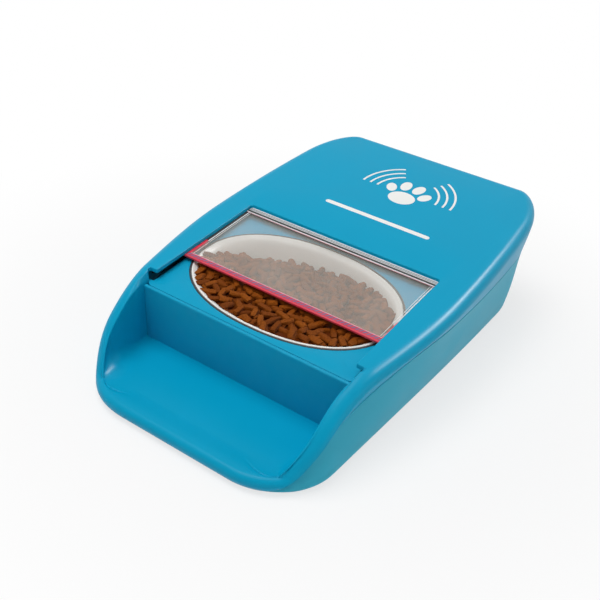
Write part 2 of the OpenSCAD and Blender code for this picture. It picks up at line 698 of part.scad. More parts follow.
// Circuit boards
board_x = [-80, -8];
board_y = [40, 98];
board_z = 8;
board_t = 1.6;
board_holes = [for (x = [board_x[0] + 4, board_x[1] - 4]) for (y = [board_y[0] + 4, board_y[1] - 4]) [x, y]];
module circuit_board() {
    color("darkgreen") difference() {
        translate([board_x[0], board_y[0], board_z + 0.05]) cube([72, 58, board_t]);
        for (p = board_holes) translate([p[0], p[1], 0]) cylinder(r = 1.6, h = 20);
    }
    color(dark) {
        translate([-52, 62, board_z + board_t]) cube([14, 14, 1.6]);
        translate([-30, 80, board_z + board_t]) cube([10, 6, 1.5]);
        translate([-72, 66, board_z + board_t]) cube([12, 9, 6]);
        translate([-31, 44, board_z + board_t]) cube([14, 6, 6]);
        translate([-62, 44, board_z + board_t]) cube([14, 6, 6]);
        translate([-20, 62, board_z + board_t]) cylinder(d = 12, h = 8);
    }
}
module board_screws() {
    color(steel) for (p = board_holes) translate([p[0], p[1], board_z + board_t + 1.9])
        rotate([180, 0, 0]) screw(7, 4.4, 2.2);
}
button_board_y = [158.5, 160.1];
module button_board() {
    color("darkgreen") translate([-28, button_board_y[0], 62]) cube([56, 1.6, 22]);
    color(dark) for (side = [-1, 1]) {
        translate([side * button_x - 3, 160, button_z - 3]) cube([6, 3.6, 6]);
        translate([side * button_x, 163, button_z]) rotate([-90, 0, 0]) cylinder(r = 1.6, h = 3.2);
    }
    color("white") translate([-1.5, 160, button_z - 1.5]) cube([3, 2.2, 3]);
}
module button(x) {
    color(pale) translate([x, 0, button_z]) rotate([-90, 0, 0]) {
        translate([0, 0, 168.2]) cylinder(r = button_r, h = button_face_y - 168.2 - 0.8);
        translate([0, 0, button_face_y - 0.85]) cylinder(r1 = button_r, r2 = button_r - 0.7, h = 0.85);
        translate([0, 0, 168.2]) cylinder(r = 6.3, h = 1.5);
    }
}
module learn_button() { button(-button_x); }
module lid_button() { button(button_x); }
module light_pipe() {
    color(pale) translate([0, 162.5, button_z]) rotate([-90, 0, 0]) cylinder(r = 1.5, h = 14.1);
}

// Reader coil under the tray floor
function round_rect(x, y, r, n = 6) = [for (c = [[1, 1, 0], [-1, 1, 90], [-1, -1, 180], [1, -1, 270]])
    for (i = [0:n]) let(a = c[2] + 90 * i / n) [c[0] * (x - r) + r * cos(a), c[1] * (y - r) + r * sin(a)]];
module antenna_coil() {
    color("peru") translate([0, -137, 4]) difference() {
        linear_extrude(2.4) polygon(round_rect(72, 24, 9));
        translate([0, 0, -1]) linear_extrude(6) polygon(round_rect(68.4, 20.4, 6));
    }
}

// Battery bay
module battery_tray() {
    color(dark) difference() {
        union() {
            translate([-55.2, 112.4, 9.6]) cube([110.4, 50.6, 16]);
            translate([-55.2, 112.4, 3.5]) cube([110.4, 36, 6.2]);
            translate([-55.2, 112.4, 9.6]) cube([110.4, 2.2, 28.4]);
        }
        for (k = [-1.5:1.5]) translate([k * cell_pitch, 114.6, cell_z]) rotate([-90, 0, 0])
            cylinder(r = cell_d / 2 + 0.2, h = 60);
        translate([-52, 116, 2]) cube([104, 28, 7.4]);
    }
}
module cell(k) {
    color("silver") translate([(k - 2.5) * cell_pitch, cell_y, cell_z]) rotate([-90, 0, 0]) {
        cylinder(d = cell_d, h = cell_l - 2);
        cylinder(d = 6, h = cell_l);
    }
}
module battery_1() { cell(1); }
module battery_2() { cell(2); }
module battery_3() { cell(3); }
module battery_4() { cell(4); }
module battery_springs() {
    color(steel) for (k = [-1.5:1.5]) translate([k * cell_pitch, 114.65, cell_z]) rotate([-90, 0, 0])
        cylinder(r1 = 5, r2 = 3, h = 2.7);
}
module door_contacts() {
    color(steel) for (side = [-1, 1]) translate([side * cell_pitch - 22, 167.95, 19]) cube([44, 0.6, 10]);
}
module battery_door() {
    color(side_blue) difference() {
        union() {
            translate([0.4 - door_half, 168.6, door_low]) cube([2 * door_half - 0.8, 2.4, 28.2]);
            translate([-knuckle_half, 168.6, door_low]) cube([2 * knuckle_half, 2.4, hinge_z - door_low]);
            translate([0, hinge_y, hinge_z]) round_x(2.4, [-knuckle_half, knuckle_half]);
            translate([-9, 170.9, door_low + 1.6]) cube([18, 0.7, 1.6]);
        }
        translate([0, hinge_y, hinge_z]) round_x(pin_r + 0.06, [-60, 60]);
    }
}
module door_pin() { color(steel) translate([0, hinge_y, hinge_z]) round_x(pin_r, [-58, 58]); }

// Feet and screws
module foot(p) { color(dark) translate([p[0], p[1], 0]) cylinder(r = foot_r, h = 1.55); }
module foot_front_left() { foot([-foot_at[0][0], foot_at[0][1]]); }
module foot_front_right() { foot(foot_at[0]); }
module foot_rear_left() { foot([-foot_at[1][0], foot_at[1][1]]); }
module foot_rear_right() { foot(foot_at[1]); }
module shell_screws() {
    color(steel) for (k = [0:1]) both_sides([shell_screw_at[k]]) translate([0, 0, 0.65])
        screw(boss_split[k] + min(12, boss_top[k] - boss_split[k]) - 2.4, 6);
}
module rail_screws() {
    color(steel) on_slope() rail_lug_places() translate([0, 0, 0.15]) screw(7.1, 4.6, 2.5);
}
module carrier_screws() {
    color(steel) both_sides(carrier_screw_at) down_screw(carrier_foot_z + 4.25, 8.8);
}

// Inner leads, each a round tube through points chosen by hand
motor_route = [[23.3, 54, 50], [18, 54, 50], [12, 55, 46], [8, 56, 38], [2, 55, 32], [-8, 52, 29],
    [-18, 49, 26], [-24, 47.5, 22], [-25, 47, 15.8]];
battery_route = [[-40, 112.2, 34], [-40, 109, 33.5], [-42, 107, 30], [-46, 103, 26], [-52, 96, 24],
    [-58, 86, 24], [-63, 76, 24], [-66, 71, 21], [-66, 70.5, 15.8]];
antenna_route = [[-40, -112.6, 5.2], [-40, -107, 5.2], [-50, -98, 5.4], [-60, -70, 5.4], [-60, -30, 5.4],
    [-58, 10, 5.4], [-57, 28, 7], [-56, 35, 14], [-55.5, 40, 21], [-55, 45, 22], [-55, 47, 15.8]];
button_route = [[-20, 158.3, 66], [-20, 155, 65], [-22, 150, 58], [-24, 138, 50], [-26, 118, 46],
    [-27, 107, 40], [-27, 96, 30], [-26, 86, 22], [-25, 83, 11.3]];
lead_r = 1.1;
function on_route(p, t) = let(n = len(p) - 1, i = min(n - 1, floor(t)), f = t - i,
        a = p[max(0, i - 1)], b = p[i], c = p[i + 1], d = p[min(n, i + 2)])
    0.5 * (2 * b + (c - a) * f + (2 * a - 5 * b + 4 * c - d) * f * f + (3 * b - a - 3 * c + d) * f * f * f);
module lead(route, c) {
    rings = 3 * (len(route) - 1);
    sides = 8;
    line = [for (k = [0:rings]) on_route(route, k / 3)];
    tube = [for (k = [0:rings])
        let(t = unit(line[min(rings, k + 1)] - line[max(0, k - 1)]),
            u = unit(cross(t, [0.31, 0.2, 0.93])), v = cross(t, u))
        for (j = [0:sides - 1]) line[k] + lead_r * (cos(45 * j) * u + sin(45 * j) * v)];
    walls = [for (k = [0:rings - 1]) for (j = [0:sides - 1])
        let(a = k * sides + j, b = k * sides + (j + 1) % sides)
        each [[a, a + sides, b], [b, a + sides, b + sides]]];
    color(c) polyhedron(points = tube, faces = concat([[for (j = [0:sides - 1]) j]], walls,
        [[for (j = [sides - 1:-1:0]) rings * sides + j]]), convexity = 8);
}
module motor_lead() { lead(motor_route, "firebrick"); }
module battery_lead() { lead(battery_route, "firebrick"); }
module antenna_lead() { lead(antenna_route, "dimgray"); }
module button_lead() { lead(button_route, "dimgray"); }

top_shell();
base_shell();
bowl_carrier();
bowl_platform();
bowl_gasket();
bowl();
lid_plate();
lid_frame();
lid_seal();
rack_left();
rack_right();
rail_left();
rail_right();
wiper_holder();
wiper_blade();
drive_shaft();
pinion_left();
pinion_right();
shaft_gear();
bush_left();
bush_right();
idler_gear();
idler_axle();
motor_pinion();
motor();
gearbox_plate_inner();
gearbox_plate_outer();
gearbox_screws();
circuit_board();
board_screws();
button_board();
learn_button();
lid_button();
light_pipe();
limit_switch_closed();
limit_switch_open();
antenna_coil();
battery_tray();
battery_1();
battery_2();
battery_3();
battery_4();
battery_springs();
door_contacts();
battery_door();
door_pin();
foot_front_left();
foot_front_right();
foot_rear_left();
foot_rear_right();
shell_screws();
rail_screws();
carrier_screws();
motor_lead();
battery_lead();
antenna_lead();
button_lead();
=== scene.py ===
import json
from math import copysign, cos, hypot, pi, radians, sin, sqrt, tan
import bmesh
import bpy
import numpy as np
from mathutils import Matrix, Vector


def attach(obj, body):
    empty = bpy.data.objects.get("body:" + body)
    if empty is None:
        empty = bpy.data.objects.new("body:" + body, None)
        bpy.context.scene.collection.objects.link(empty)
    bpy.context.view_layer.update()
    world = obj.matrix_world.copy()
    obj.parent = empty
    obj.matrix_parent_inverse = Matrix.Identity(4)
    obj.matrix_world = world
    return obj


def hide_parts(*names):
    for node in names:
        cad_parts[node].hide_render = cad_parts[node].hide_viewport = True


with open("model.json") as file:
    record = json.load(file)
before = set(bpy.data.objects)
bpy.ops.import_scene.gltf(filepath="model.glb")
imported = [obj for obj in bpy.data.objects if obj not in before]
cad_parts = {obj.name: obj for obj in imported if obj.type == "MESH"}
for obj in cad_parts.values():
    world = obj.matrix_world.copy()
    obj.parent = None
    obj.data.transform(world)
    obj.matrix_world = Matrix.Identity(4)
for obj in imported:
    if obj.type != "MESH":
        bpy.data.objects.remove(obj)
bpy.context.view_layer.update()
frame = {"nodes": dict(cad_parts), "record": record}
nodes = frame["nodes"]
MM = 0.001


# Camera of the photograph
def place_camera():
    lens = bpy.data.cameras.new("photo_camera")
    camera = bpy.data.objects.new("photo_camera", lens)
    bpy.context.scene.collection.objects.link(camera)
    right = Vector((0.81110, 0.58025, 0.07362))
    up = Vector((-0.36283, 0.40042, 0.84144))
    ahead = Vector((-0.45877, 0.70920, -0.53531))
    spot = (0.3162, -0.5211, 0.4212)
    rows = [(right[k], up[k], -ahead[k], spot[k]) for k in range(3)]
    camera.matrix_world = Matrix(rows + [(0, 0, 0, 1)])
    lens.lens = 54.09
    lens.sensor_width = 36
    lens.clip_start = 0.01
    bpy.context.scene.camera = camera


place_camera()


# Colours as they look on a screen, 0 to 255, made linear
def ink(*screen):
    return tuple(v / 255 / 12.92 if v < 10.3 else ((v / 255 + 0.055) / 1.055) ** 2.4 for v in screen)


DECK_BLUE = ink(0, 156, 195)
SIDE_BLUE = ink(50, 168, 194)
BOWL_WHITE = ink(238, 238, 235)
SEAL_RED = ink(222, 26, 62)
SEAL_GREY = ink(112, 92, 132)
BAND_RED = ink(196, 34, 70)
PALE_PINK = ink(232, 170, 180)
PALE = ink(226, 229, 230)
BLACK = ink(26, 26, 28)
GEAR_CREAM = ink(228, 224, 210)
BOARD_GREEN = ink(22, 96, 58)
COPPER = ink(176, 104, 60)
SLEEVE_GREY = ink(186, 188, 192)
LEAD_RED = ink(170, 30, 34)
LEAD_GREY = ink(70, 70, 74)
CRUMB_BROWN = ink(152, 81, 20)
CRUMB_DARK = ink(96, 42, 7)
STEEL_GREY = ink(190, 190, 192)
SHEET_GREY = ink(200, 202, 205)
BRASS_YELLOW = ink(196, 160, 88)


# Helpers for nodes: each input is a plain value or another node's output
def feed(tree, node, inputs):
    for name, value in inputs.items():
        if isinstance(value, bpy.types.NodeSocket):
            tree.links.new(value, node.inputs[name])
        else:
            node.inputs[name].default_value = value


def add_node(tree, kind, inputs=None, **settings):
    node = tree.nodes.new(kind)
    for name, value in settings.items():
        setattr(node, name, value)
    feed(tree, node, inputs or {})
    return node


def made(tree, kind, inputs, **settings):
    return add_node(tree, kind, inputs, **settings).outputs[0]


def math_node(tree, work, first, second=0, clamp=False):
    return made(tree, "ShaderNodeMath", {0: first, 1: second}, operation=work, use_clamp=clamp)


def mix_colour(tree, factor, first, second):
    first, second = ((*v, 1) if isinstance(v, tuple) else v for v in (first, second))
    return add_node(tree, "ShaderNodeMix", {0: factor, 6: first, 7: second}, data_type="RGBA").outputs[2]


def spread(tree, value, low, high, start=0.3, stop=0.7):
    return made(tree, "ShaderNodeMapRange", {
        "Value": value, "From Min": start, "From Max": stop, "To Min": low, "To Max": high})


def noise(tree, place, scale, detail):
    return made(tree, "ShaderNodeTexNoise", {"Vector": place, "Scale": scale, "Detail": detail})


def bumped(tree, height, depth):
    return made(tree, "ShaderNodeBump", {"Height": height, "Distance": depth})


# A group with named sockets: the tree, what its start gives and its end node
def new_group(name, kind, inputs, outputs):
    group = bpy.data.node_groups.new(name, kind)
    for title, socket_kind, value in inputs:
        socket = group.interface.new_socket(title, in_out="INPUT", socket_type=socket_kind)
        if value is not None:
            socket.default_value = value
    for title, socket_kind in outputs:
        group.interface.new_socket(title, in_out="OUTPUT", socket_type=socket_kind)
    return group, group.nodes.new("NodeGroupInput").outputs, group.nodes.new("NodeGroupOutput")


VECTOR, FLOAT, WHOLE = "NodeSocketVector", "NodeSocketFloat", "NodeSocketInt"
GEOMETRY, PAINT = "NodeSocketGeometry", "NodeSocketMaterial"


# Shader groups shared by the finishes
def make_grain():
    group, start, end = new_group(
        "moulded_grain", "ShaderNodeTree",
        [("Vector", VECTOR, None), ("Grains per metre", FLOAT, 1800.0), ("Waves per metre", FLOAT, 22.0)],
        [("Height", FLOAT), ("Tone", FLOAT)])
    feed(group, end, {"Height": noise(group, start["Vector"], start["Grains per metre"], 3),
                      "Tone": noise(group, start["Vector"], start["Waves per metre"], 4)})
    return group


EDGE_FROM, EDGE_TO = 0.515, 0.60


def make_wear():
    group, start, end = new_group(
        "rubbed_edges", "ShaderNodeTree",
        [("Vector", VECTOR, None), ("Patches per metre", FLOAT, 140.0), ("Amount", FLOAT, 0.5)],
        [("Mask", FLOAT)])
    shape = group.nodes.new("ShaderNodeNewGeometry")
    sharp = spread(group, shape.outputs["Pointiness"], 0, 1, EDGE_FROM, EDGE_TO)
    patch = noise(group, start["Vector"], start["Patches per metre"], 5)
    broken = math_node(group, "MULTIPLY", sharp, patch)
    feed(group, end, {"Mask": math_node(group, "MULTIPLY", broken, start["Amount"], True)})
    return group


GRAIN = make_grain()
WEAR = make_wear()


def shade(colour, factor):
    return tuple(min(1, v * factor) for v in colour)


# A new finish: the material, its tree, its shader and the place on the object
def new_finish(name):
    material = bpy.data.materials.new(name)
    material.use_nodes = True
    tree = material.node_tree
    place = tree.nodes.new("ShaderNodeTexCoord").outputs["Object"]
    return material, tree, tree.nodes["Principled BSDF"], place


ROUGH_SPREAD, RUBBED_PALE, COAT_ROUGH = 0.05, 0.35, 0.12


# A moulded or rubber finish: fine grain, slow change of tone, paler rubbed edges
def moulded(name, colour, rough, grains=1800, depth=0.00002, wear=0.3, tone=0.05, coat=0.0, gloss=0.5):
    material, tree, shader, place = new_finish(name)
    grain = add_node(tree, "ShaderNodeGroup", {"Vector": place, "Grains per metre": grains},
                     node_tree=GRAIN).outputs
    rubbed = add_node(tree, "ShaderNodeGroup", {"Vector": place, "Amount": wear}, node_tree=WEAR).outputs
    base = mix_colour(tree, grain["Tone"], shade(colour, 1 - tone), shade(colour, 1 + tone))
    pale = tuple(v + (1 - v) * RUBBED_PALE for v in colour)
    feed(tree, shader, {
        "Base Color": mix_colour(tree, rubbed["Mask"], base, pale),
        "Roughness": spread(tree, grain["Tone"], rough - ROUGH_SPREAD, rough + ROUGH_SPREAD),
        "Normal": bumped(tree, grain["Height"], depth),
        "Specular IOR Level": gloss, "Coat Weight": coat, "Coat Roughness": COAT_ROUGH})
    return material


# A metal finish: drawn or turned lines along one axis
def metal(name, colour, rough, lines=(60, 2500, 2500), depth=0.00001):
    material, tree, shader, place = new_finish(name)
    stretch = made(tree, "ShaderNodeMapping", {"Vector": place, "Scale": lines})
    brush = noise(tree, stretch, 1, 4)
    feed(tree, shader, {
        "Metallic": 1, "Base Color": mix_colour(tree, brush, shade(colour, 0.8), shade(colour, 1.12)),
        "Roughness": spread(tree, brush, rough - 0.08, rough + 0.1), "Normal": bumped(tree, brush, depth)})
    return material


# The clear plate: see-through, with a milky, uneven veil
def clear_finish(name, veil):
    material, tree, shader, place = new_finish(name)
    cloud = noise(tree, place, 26, 5)
    feed(tree, shader, {
        "Base Color": mix_colour(tree, cloud, ink(240, 238, 228), ink(250, 247, 238)),
        "Roughness": spread(tree, cloud, 0.08, 0.18),
        "Alpha": spread(tree, cloud, veil - 0.02, veil + 0.02)})
    return material


# Food: a baked crust, darker where a rod's own random tone is low and where painted shade darkens it further
# down between the others, with fine crumbs
def crumb_finish():
    material, tree, shader, place = new_finish("kibble_crumb")
    each = add_node(tree, "ShaderNodeAttribute", attribute_name="bake_shade").outputs["Fac"]
    crumb = noise(tree, place, 900, 6)
    crust_tone_and_shade = mix_colour(tree, each, CRUMB_DARK, CRUMB_BROWN)
    feed(tree, shader, {
        "Base Color": mix_colour(tree, spread(tree, crumb, 0, 0.5), crust_tone_and_shade, shade(CRUMB_DARK, 0.6)),
        "Roughness": spread(tree, crumb, 0.75, 0.95), "Normal": bumped(tree, crumb, 0.0005),
        "Specular IOR Level": 0.06})
    return material


# Fine copper turns side by side
def winding_finish():
    material, tree, shader, place = new_finish("enamelled_winding")
    waves = add_node(tree, "ShaderNodeTexWave", {"Vector": place, "Scale": 900}, bands_direction="Z")
    turns = waves.outputs["Fac"]
    feed(tree, shader, {
        "Metallic": 0.6, "Base Color": mix_colour(tree, turns, shade(COPPER, 0.5), COPPER),
        "Roughness": spread(tree, turns, 0.45, 0.3), "Normal": bumped(tree, turns, 0.0002)})
    return material


FINISH = {
    "body_plastic": moulded("deck_plastic", DECK_BLUE, 0.36, 1800, 0.000012, 0.04, 0.03, gloss=0.1),
    "base_plastic": moulded("side_plastic", SIDE_BLUE, 0.45, 1800, 0.000012, 0.1, 0.04, gloss=0.15),
    "bowl_white": moulded("bowl_glaze", BOWL_WHITE, 0.36, 500, 0.000006, wear=0.1, tone=0.02, gloss=0.3),
    "clear_plate": clear_finish("milky_plate", 0.15),
    "pale_plastic": moulded("pale_plastic", PALE, 0.4),
    "red_rubber": moulded("red_seal", SEAL_RED, 0.45, grains=2400, tone=0.08, gloss=0.2),
    "black_rubber": moulded("black_rubber", BLACK, 0.7, grains=2600, tone=0.2, wear=0.15),
    "dark_plastic": moulded("dark_plastic", BLACK, 0.5, tone=0.15, wear=0.1),
    "gear_plastic": moulded("gear_plastic", GEAR_CREAM, 0.35, tone=0.04),
    "lamp_plastic": moulded("lamp_plastic", ink(214, 232, 222), 0.15, depth=0.000004, wear=0.1),
    "steel": metal("drawn_steel", STEEL_GREY, 0.3),
    "aluminium": metal("rolled_sheet", SHEET_GREY, 0.38, lines=(2500, 60, 2500)),
    "brass": metal("turned_brass", BRASS_YELLOW, 0.3, lines=(2500, 300, 300)),
    "board": moulded("solder_mask", BOARD_GREEN, 0.3, grains=900, tone=0.12, coat=0.3),
    "coil": winding_finish(),
    "cell": metal("cell_sleeve", SLEEVE_GREY, 0.35, lines=(900, 40, 900)),
    "lead_red": moulded("lead_red", LEAD_RED, 0.5, grains=2600),
    "lead_grey": moulded("lead_grey", LEAD_GREY, 0.5, grains=2600)}
SEAL_DASH = moulded("seal_dash", SEAL_GREY, 0.5, tone=0.1, gloss=0.2)
BAND_FINISH = moulded("seal_band", BAND_RED, 0.5, tone=0.1, gloss=0.2)
PINK_LINE = moulded("pink_line", PALE_PINK, 0.4, tone=0.05, gloss=0.2)
CRUMB = crumb_finish()

# The CAD pieces that show as they are take the same finishes
for part in frame["record"]["subparts"]:
    node_mesh = nodes[part["node"]].data
    if len(node_mesh.materials) == 0:
        node_mesh.materials.append(FINISH[part["material_slot"]])
    for k in range(len(node_mesh.materials)):
        node_mesh.materials[k] = FINISH[part["material_slot"]]

# Sizes of the body, in millimetres; the curves below them follow the photograph's outlines
SLOPE = radians(6.61)
Y_FRONT, Y_BACK = -178.5, 178.5
FRONT_RX, FRONT_RY, BACK_RX, BACK_RY = 50, 45, 24, 52
FRONT_C, BACK_C = Y_FRONT + FRONT_RY, Y_BACK - BACK_RY
TRAY_FRONT, TRAY_RX, TRAY_RY = -173.8, 42, 33
TRAY_C, TRAY_END = TRAY_FRONT + TRAY_RY, -99.6
RISER_Y = -103.5
DECK_N = 8.8
RISER_Z = 81.7 + tan(SLOPE) * RISER_Y - DECK_N / cos(SLOPE)
WINDOW_X, WINDOW_BACK, NOTCH_Y, NOTCH_X = 89, 19.2, -94.9, 95.9
LIP_Z, TOP_Z = 12.8, 101.34
HALF_W = 116.85


# A point given across, along and above the sloping line of the riser's foot
def on_slope(x, s, n):
    return (x, RISER_Y + s * cos(SLOPE) - n * sin(SLOPE),
            RISER_Z + s * sin(SLOPE) + n * cos(SLOPE))


def drop(q):
    return 1 - sqrt(max(0, 1 - max(0, q) ** 2))


def half_w(y):
    if y > 5:
        return HALF_W - 0.0004 * (y - 5) ** 2
    return HALF_W - 9 * (1 - cos(pi * (5 - y) / 175))


def shell_x(y):
    return half_w(y) - FRONT_RX * drop((FRONT_C - y) / FRONT_RY) - BACK_RX * drop((y - BACK_C) / BACK_RY)


def base_x(y):
    return 105 - 0.00012 * y * y - 51 * drop((-132.7 - y) / 45) - 40 * drop((y - 125.5) / 46)


def tray_x(y):
    return 92 - 0.06 * (RISER_Y - y) - TRAY_RX * drop((TRAY_C - y) / TRAY_RY) + 0.7 * ease((y + 112) / 8)


def ease(u):
    c = max(0, min(1, u))
    return 3 * c - 2 * c ** 1.5


def deck_at(y):
    return 81.7 + tan(SLOPE) * y


def rim_at(y):
    return LIP_Z + (deck_at(y) - LIP_Z) * ease((y + 162) / 72)


def smooth(u):
    c = max(0, min(1, u))
    return c * c * (3 - 2 * c)


# Heights of the side's seam, which runs out under the rounded front lip
SEAM = [(-178.5, 2.2), (-172, 2.6), (-167, 4.6), (-160.5, 9.2), (-154.6, 17.5), (-146.2, 26.8), (-134, 35.6),
        (-120.3, 41.6), (-102.5, 48.2), (-84, 53.2), (-64, 57.2), (-42.7, 60.0), (-21, 61.2), (14, 61.5)]


def seam_at(y):
    around = [np.interp(y + 0.7 * k, *zip(*SEAM)) for k in range(-8, 9)]
    return float(sum(around) / len(around))


def edge_r(y):
    return min(5 + 4 * ease((y + 168) / 70), rim_at(y) - seam_at(y) - 1.2)


def front_share(x):
    return 1 - smooth((x - 50) / 26)


# 0 round the front, 1 along the sides
def side_share(y):
    return ease((y + 170) / 70)


def seam_inset(y):
    return 2.6 + 1.4 * side_share(y)


def floor_at(y):
    return 11 + 1.9 * (y - TRAY_FRONT) / (RISER_Y - TRAY_FRONT)


def steps(a, b, count):
    return [a + (b - a) * k / count for k in range(count)]


# Outward directions along a half plan that starts and ends on the middle line
def outward(line):
    result = []
    for k, point in enumerate(line):
        before = line[k - 1] if k else (-line[1][0], line[1][1])
        after = line[k + 1] if k < len(line) - 1 else (-line[k - 1][0], line[k - 1][1])
        along = np.subtract(after, before)
        along = along / np.linalg.norm(along)
        result.append(np.array([along[1], -along[0]]))
    return result


FRONT_STEPS, CORNER_STEPS, DESCENT_STEPS, NOTCH_STEPS = 8, 20, 20, 7
SIDE_STEPS, BEND_STEPS, REAR_STEPS, END_STEPS = 16, 8, 18, 8
NOTCH_SPAN, WINDOW_FRONT, WINDOW_BEND = (-98, -93.4), -93, 3


def outer_plan():
    y = [Y_FRONT] * FRONT_STEPS
    x = steps(0, shell_x(Y_FRONT), FRONT_STEPS)
    for angle in steps(0, 90, CORNER_STEPS):
        y.append(FRONT_C - FRONT_RY * cos(radians(angle)))
    y += steps(FRONT_C, NOTCH_SPAN[0], DESCENT_STEPS)
    y += steps(*NOTCH_SPAN, NOTCH_STEPS)
    y += steps(NOTCH_SPAN[1], WINDOW_BACK, SIDE_STEPS)
    y += steps(WINDOW_BACK, BACK_C, BEND_STEPS)
    for angle in steps(0, 90, REAR_STEPS):
        y.append(BACK_C + BACK_RY * sin(radians(angle)))
    x += [shell_x(v) for v in y[FRONT_STEPS:]]
    x += [shell_x(Y_BACK) * (1 - k / END_STEPS) for k in range(END_STEPS + 1)]
    y += [Y_BACK] * (END_STEPS + 1)
    return list(zip(x, y))


OUTER = outer_plan()
OUTER_OUT = outward(OUTER)
TRAY_COUNT = FRONT_STEPS + CORNER_STEPS + DESCENT_STEPS + 1


# The opening: round the tray, out and in again at the notch, then along the window
def mouth_plan():
    line = [(x, TRAY_FRONT) for x in steps(0, tray_x(TRAY_FRONT), FRONT_STEPS)]
    for angle in steps(0, 90, CORNER_STEPS):
        y = TRAY_C - TRAY_RY * cos(radians(angle))
        line.append((tray_x(y), y))
    line += [(tray_x(y), y) for y in steps(TRAY_C, TRAY_END, DESCENT_STEPS)]
    line.append((tray_x(TRAY_END), TRAY_END))
    out = outward(line)
    out[-1] = np.array([1.0, 0.0])
    diagonal = sqrt(0.5)
    notch = [((NOTCH_X, NOTCH_Y - 2.4), (1, 0)), ((NOTCH_X - 0.4, NOTCH_Y - 0.4), (diagonal, diagonal)),
             ((NOTCH_X - 2, NOTCH_Y), (0, 1)), ((WINDOW_X + 1.2, NOTCH_Y), (0, 1)),
             ((WINDOW_X + 0.25, NOTCH_Y + 0.25), (diagonal, diagonal)), ((WINDOW_X, NOTCH_Y + 1.2), (1, 0))]
    line += [p for p, _ in notch]
    out += [np.array(v, float) for _, v in notch]
    side, back = WINDOW_X - WINDOW_BEND, WINDOW_BACK - WINDOW_BEND
    for y in steps(WINDOW_FRONT, back, SIDE_STEPS):
        line.append((WINDOW_X, y))
        out.append(np.array([1.0, 0.0]))
    for angle in steps(0, 90, BEND_STEPS):
        way = np.array([cos(radians(angle)), sin(radians(angle))])
        line.append(tuple(np.array([side, back]) + WINDOW_BEND * way))
        out.append(way)
    rest = REAR_STEPS + END_STEPS
    for k in range(rest + 1):
        line.append((side * (1 - k / rest), WINDOW_BACK))
        out.append(np.array([0.0, 1.0]))
    return line, out


MOUTH, MOUTH_OUT = mouth_plan()
assert len(MOUTH) == len(OUTER), (len(MOUTH), len(OUTER))


# Two points on the curve that rounds a corner between a and b
def bend_points(a, corner, b):
    a, corner, b = (np.array(v, float) for v in (a, corner, b))
    return [tuple((1 - t) ** 2 * a + 2 * t * (1 - t) * corner + t * t * b) for t in (1 / 3, 2 / 3)]


# The fillet at the tray's foot: how far it reaches in and how high it climbs
def reach_at(y):
    return 1.6 + 14.4 * smooth((RISER_Y - 1.5 - y) / 45)


def fillet_at(y):
    return min(reach_at(y), 0.85 * (rim_at(y) - floor_at(y)))


# Rows of points up the tray's side, which the rest of the opening does without
TRAY_ROWS = 7


# Section of the opening's edge at one place, as (distance outwards, height)
def tray_section(y, band):
    rim, floor = rim_at(y), floor_at(y)
    fillet, reach = fillet_at(y), reach_at(y)
    section = []
    for k in range(TRAY_ROWS - 1):
        angle = radians(90 - 15 * k)
        section.append((-reach * (1 - cos(angle)), floor + fillet * (1 - sin(angle))))
    width = min(0.8 + 3.1 * smooth((y + 125) / 26), 0.35 * band)
    ledge = min(rim - width, 63.2 + 0.075 * (y + 101))
    soft = min(1.0, 0.3 * band)
    section.append((0, (floor + fillet + ledge - soft) / 2))
    facet = np.array([width, rim - ledge])
    length = np.linalg.norm(facet)
    share = min(0.45, soft / length)
    low, high = (0, ledge), (width, rim)
    from_low = (width * share, ledge + (rim - ledge) * share)
    to_high = (width * (1 - share), rim - (rim - ledge) * share)
    start, stop = (0, ledge - soft), (width + soft, rim)
    section += [start] + bend_points(start, low, from_low) + [from_low, to_high]
    section += bend_points(to_high, high, stop) + [stop]
    return section


def window_section(y, lip_n):
    top = deck_at(y)
    low = top - (DECK_N - lip_n) / cos(SLOPE)
    soft = 0.7
    start, stop = (0, top - soft), (soft, top)
    section = [(0, low), (0, low + 0.1), (0, low + 0.3), (0, (low + top) / 2), start]
    return section + bend_points(start, (0, top), stop) + [stop]


def place(plan, out, across, z):
    return np.array([plan[0] + out[0] * across, plan[1] + out[1] * across, z])


# A point at a distance from the outline and a depth below the rim
def under_rim(plan, out, across, depth):
    point = place(plan, out, across, 0)
    point[2] = rim_at(point[1]) - depth
    return point


SEAM_GAP, SEAM_ROWS = 0.4, 6
SWEEP, SWEEP_ROWS, LIP_THICK, UNDER_R = 18, 17, 1.1, 6.5
LIP_N, LIP_RISE, LIP_BACK = 5.6, 0.65, 6.25
EDGE_ROWS, COS_45, REST_45 = 9, 0.707, 0.293
INNER_STEPS = (0.93, 0.8, 0.62, 0.5, 0.4, 0.3, 0.2, 0.1, 0)


# A point of the soft sweep that leads from the tray floor up to the crest of the lip
def sweep_point(mouth, away, crest, share, under):
    start = place(mouth, away, -SWEEP, floor_at(mouth[1]))
    point = start + (crest - start) * share
    point[2] = start[2] + (crest[2] - start[2]) * smooth(share) - under
    return point


def blend(column, first, shares, mouth, away, crest, mix, under):
    for j, share in enumerate(shares):
        soft = sweep_point(mouth, away, crest, share, under)
        column[first + j] = column[first + j] * (1 - mix) + soft * mix


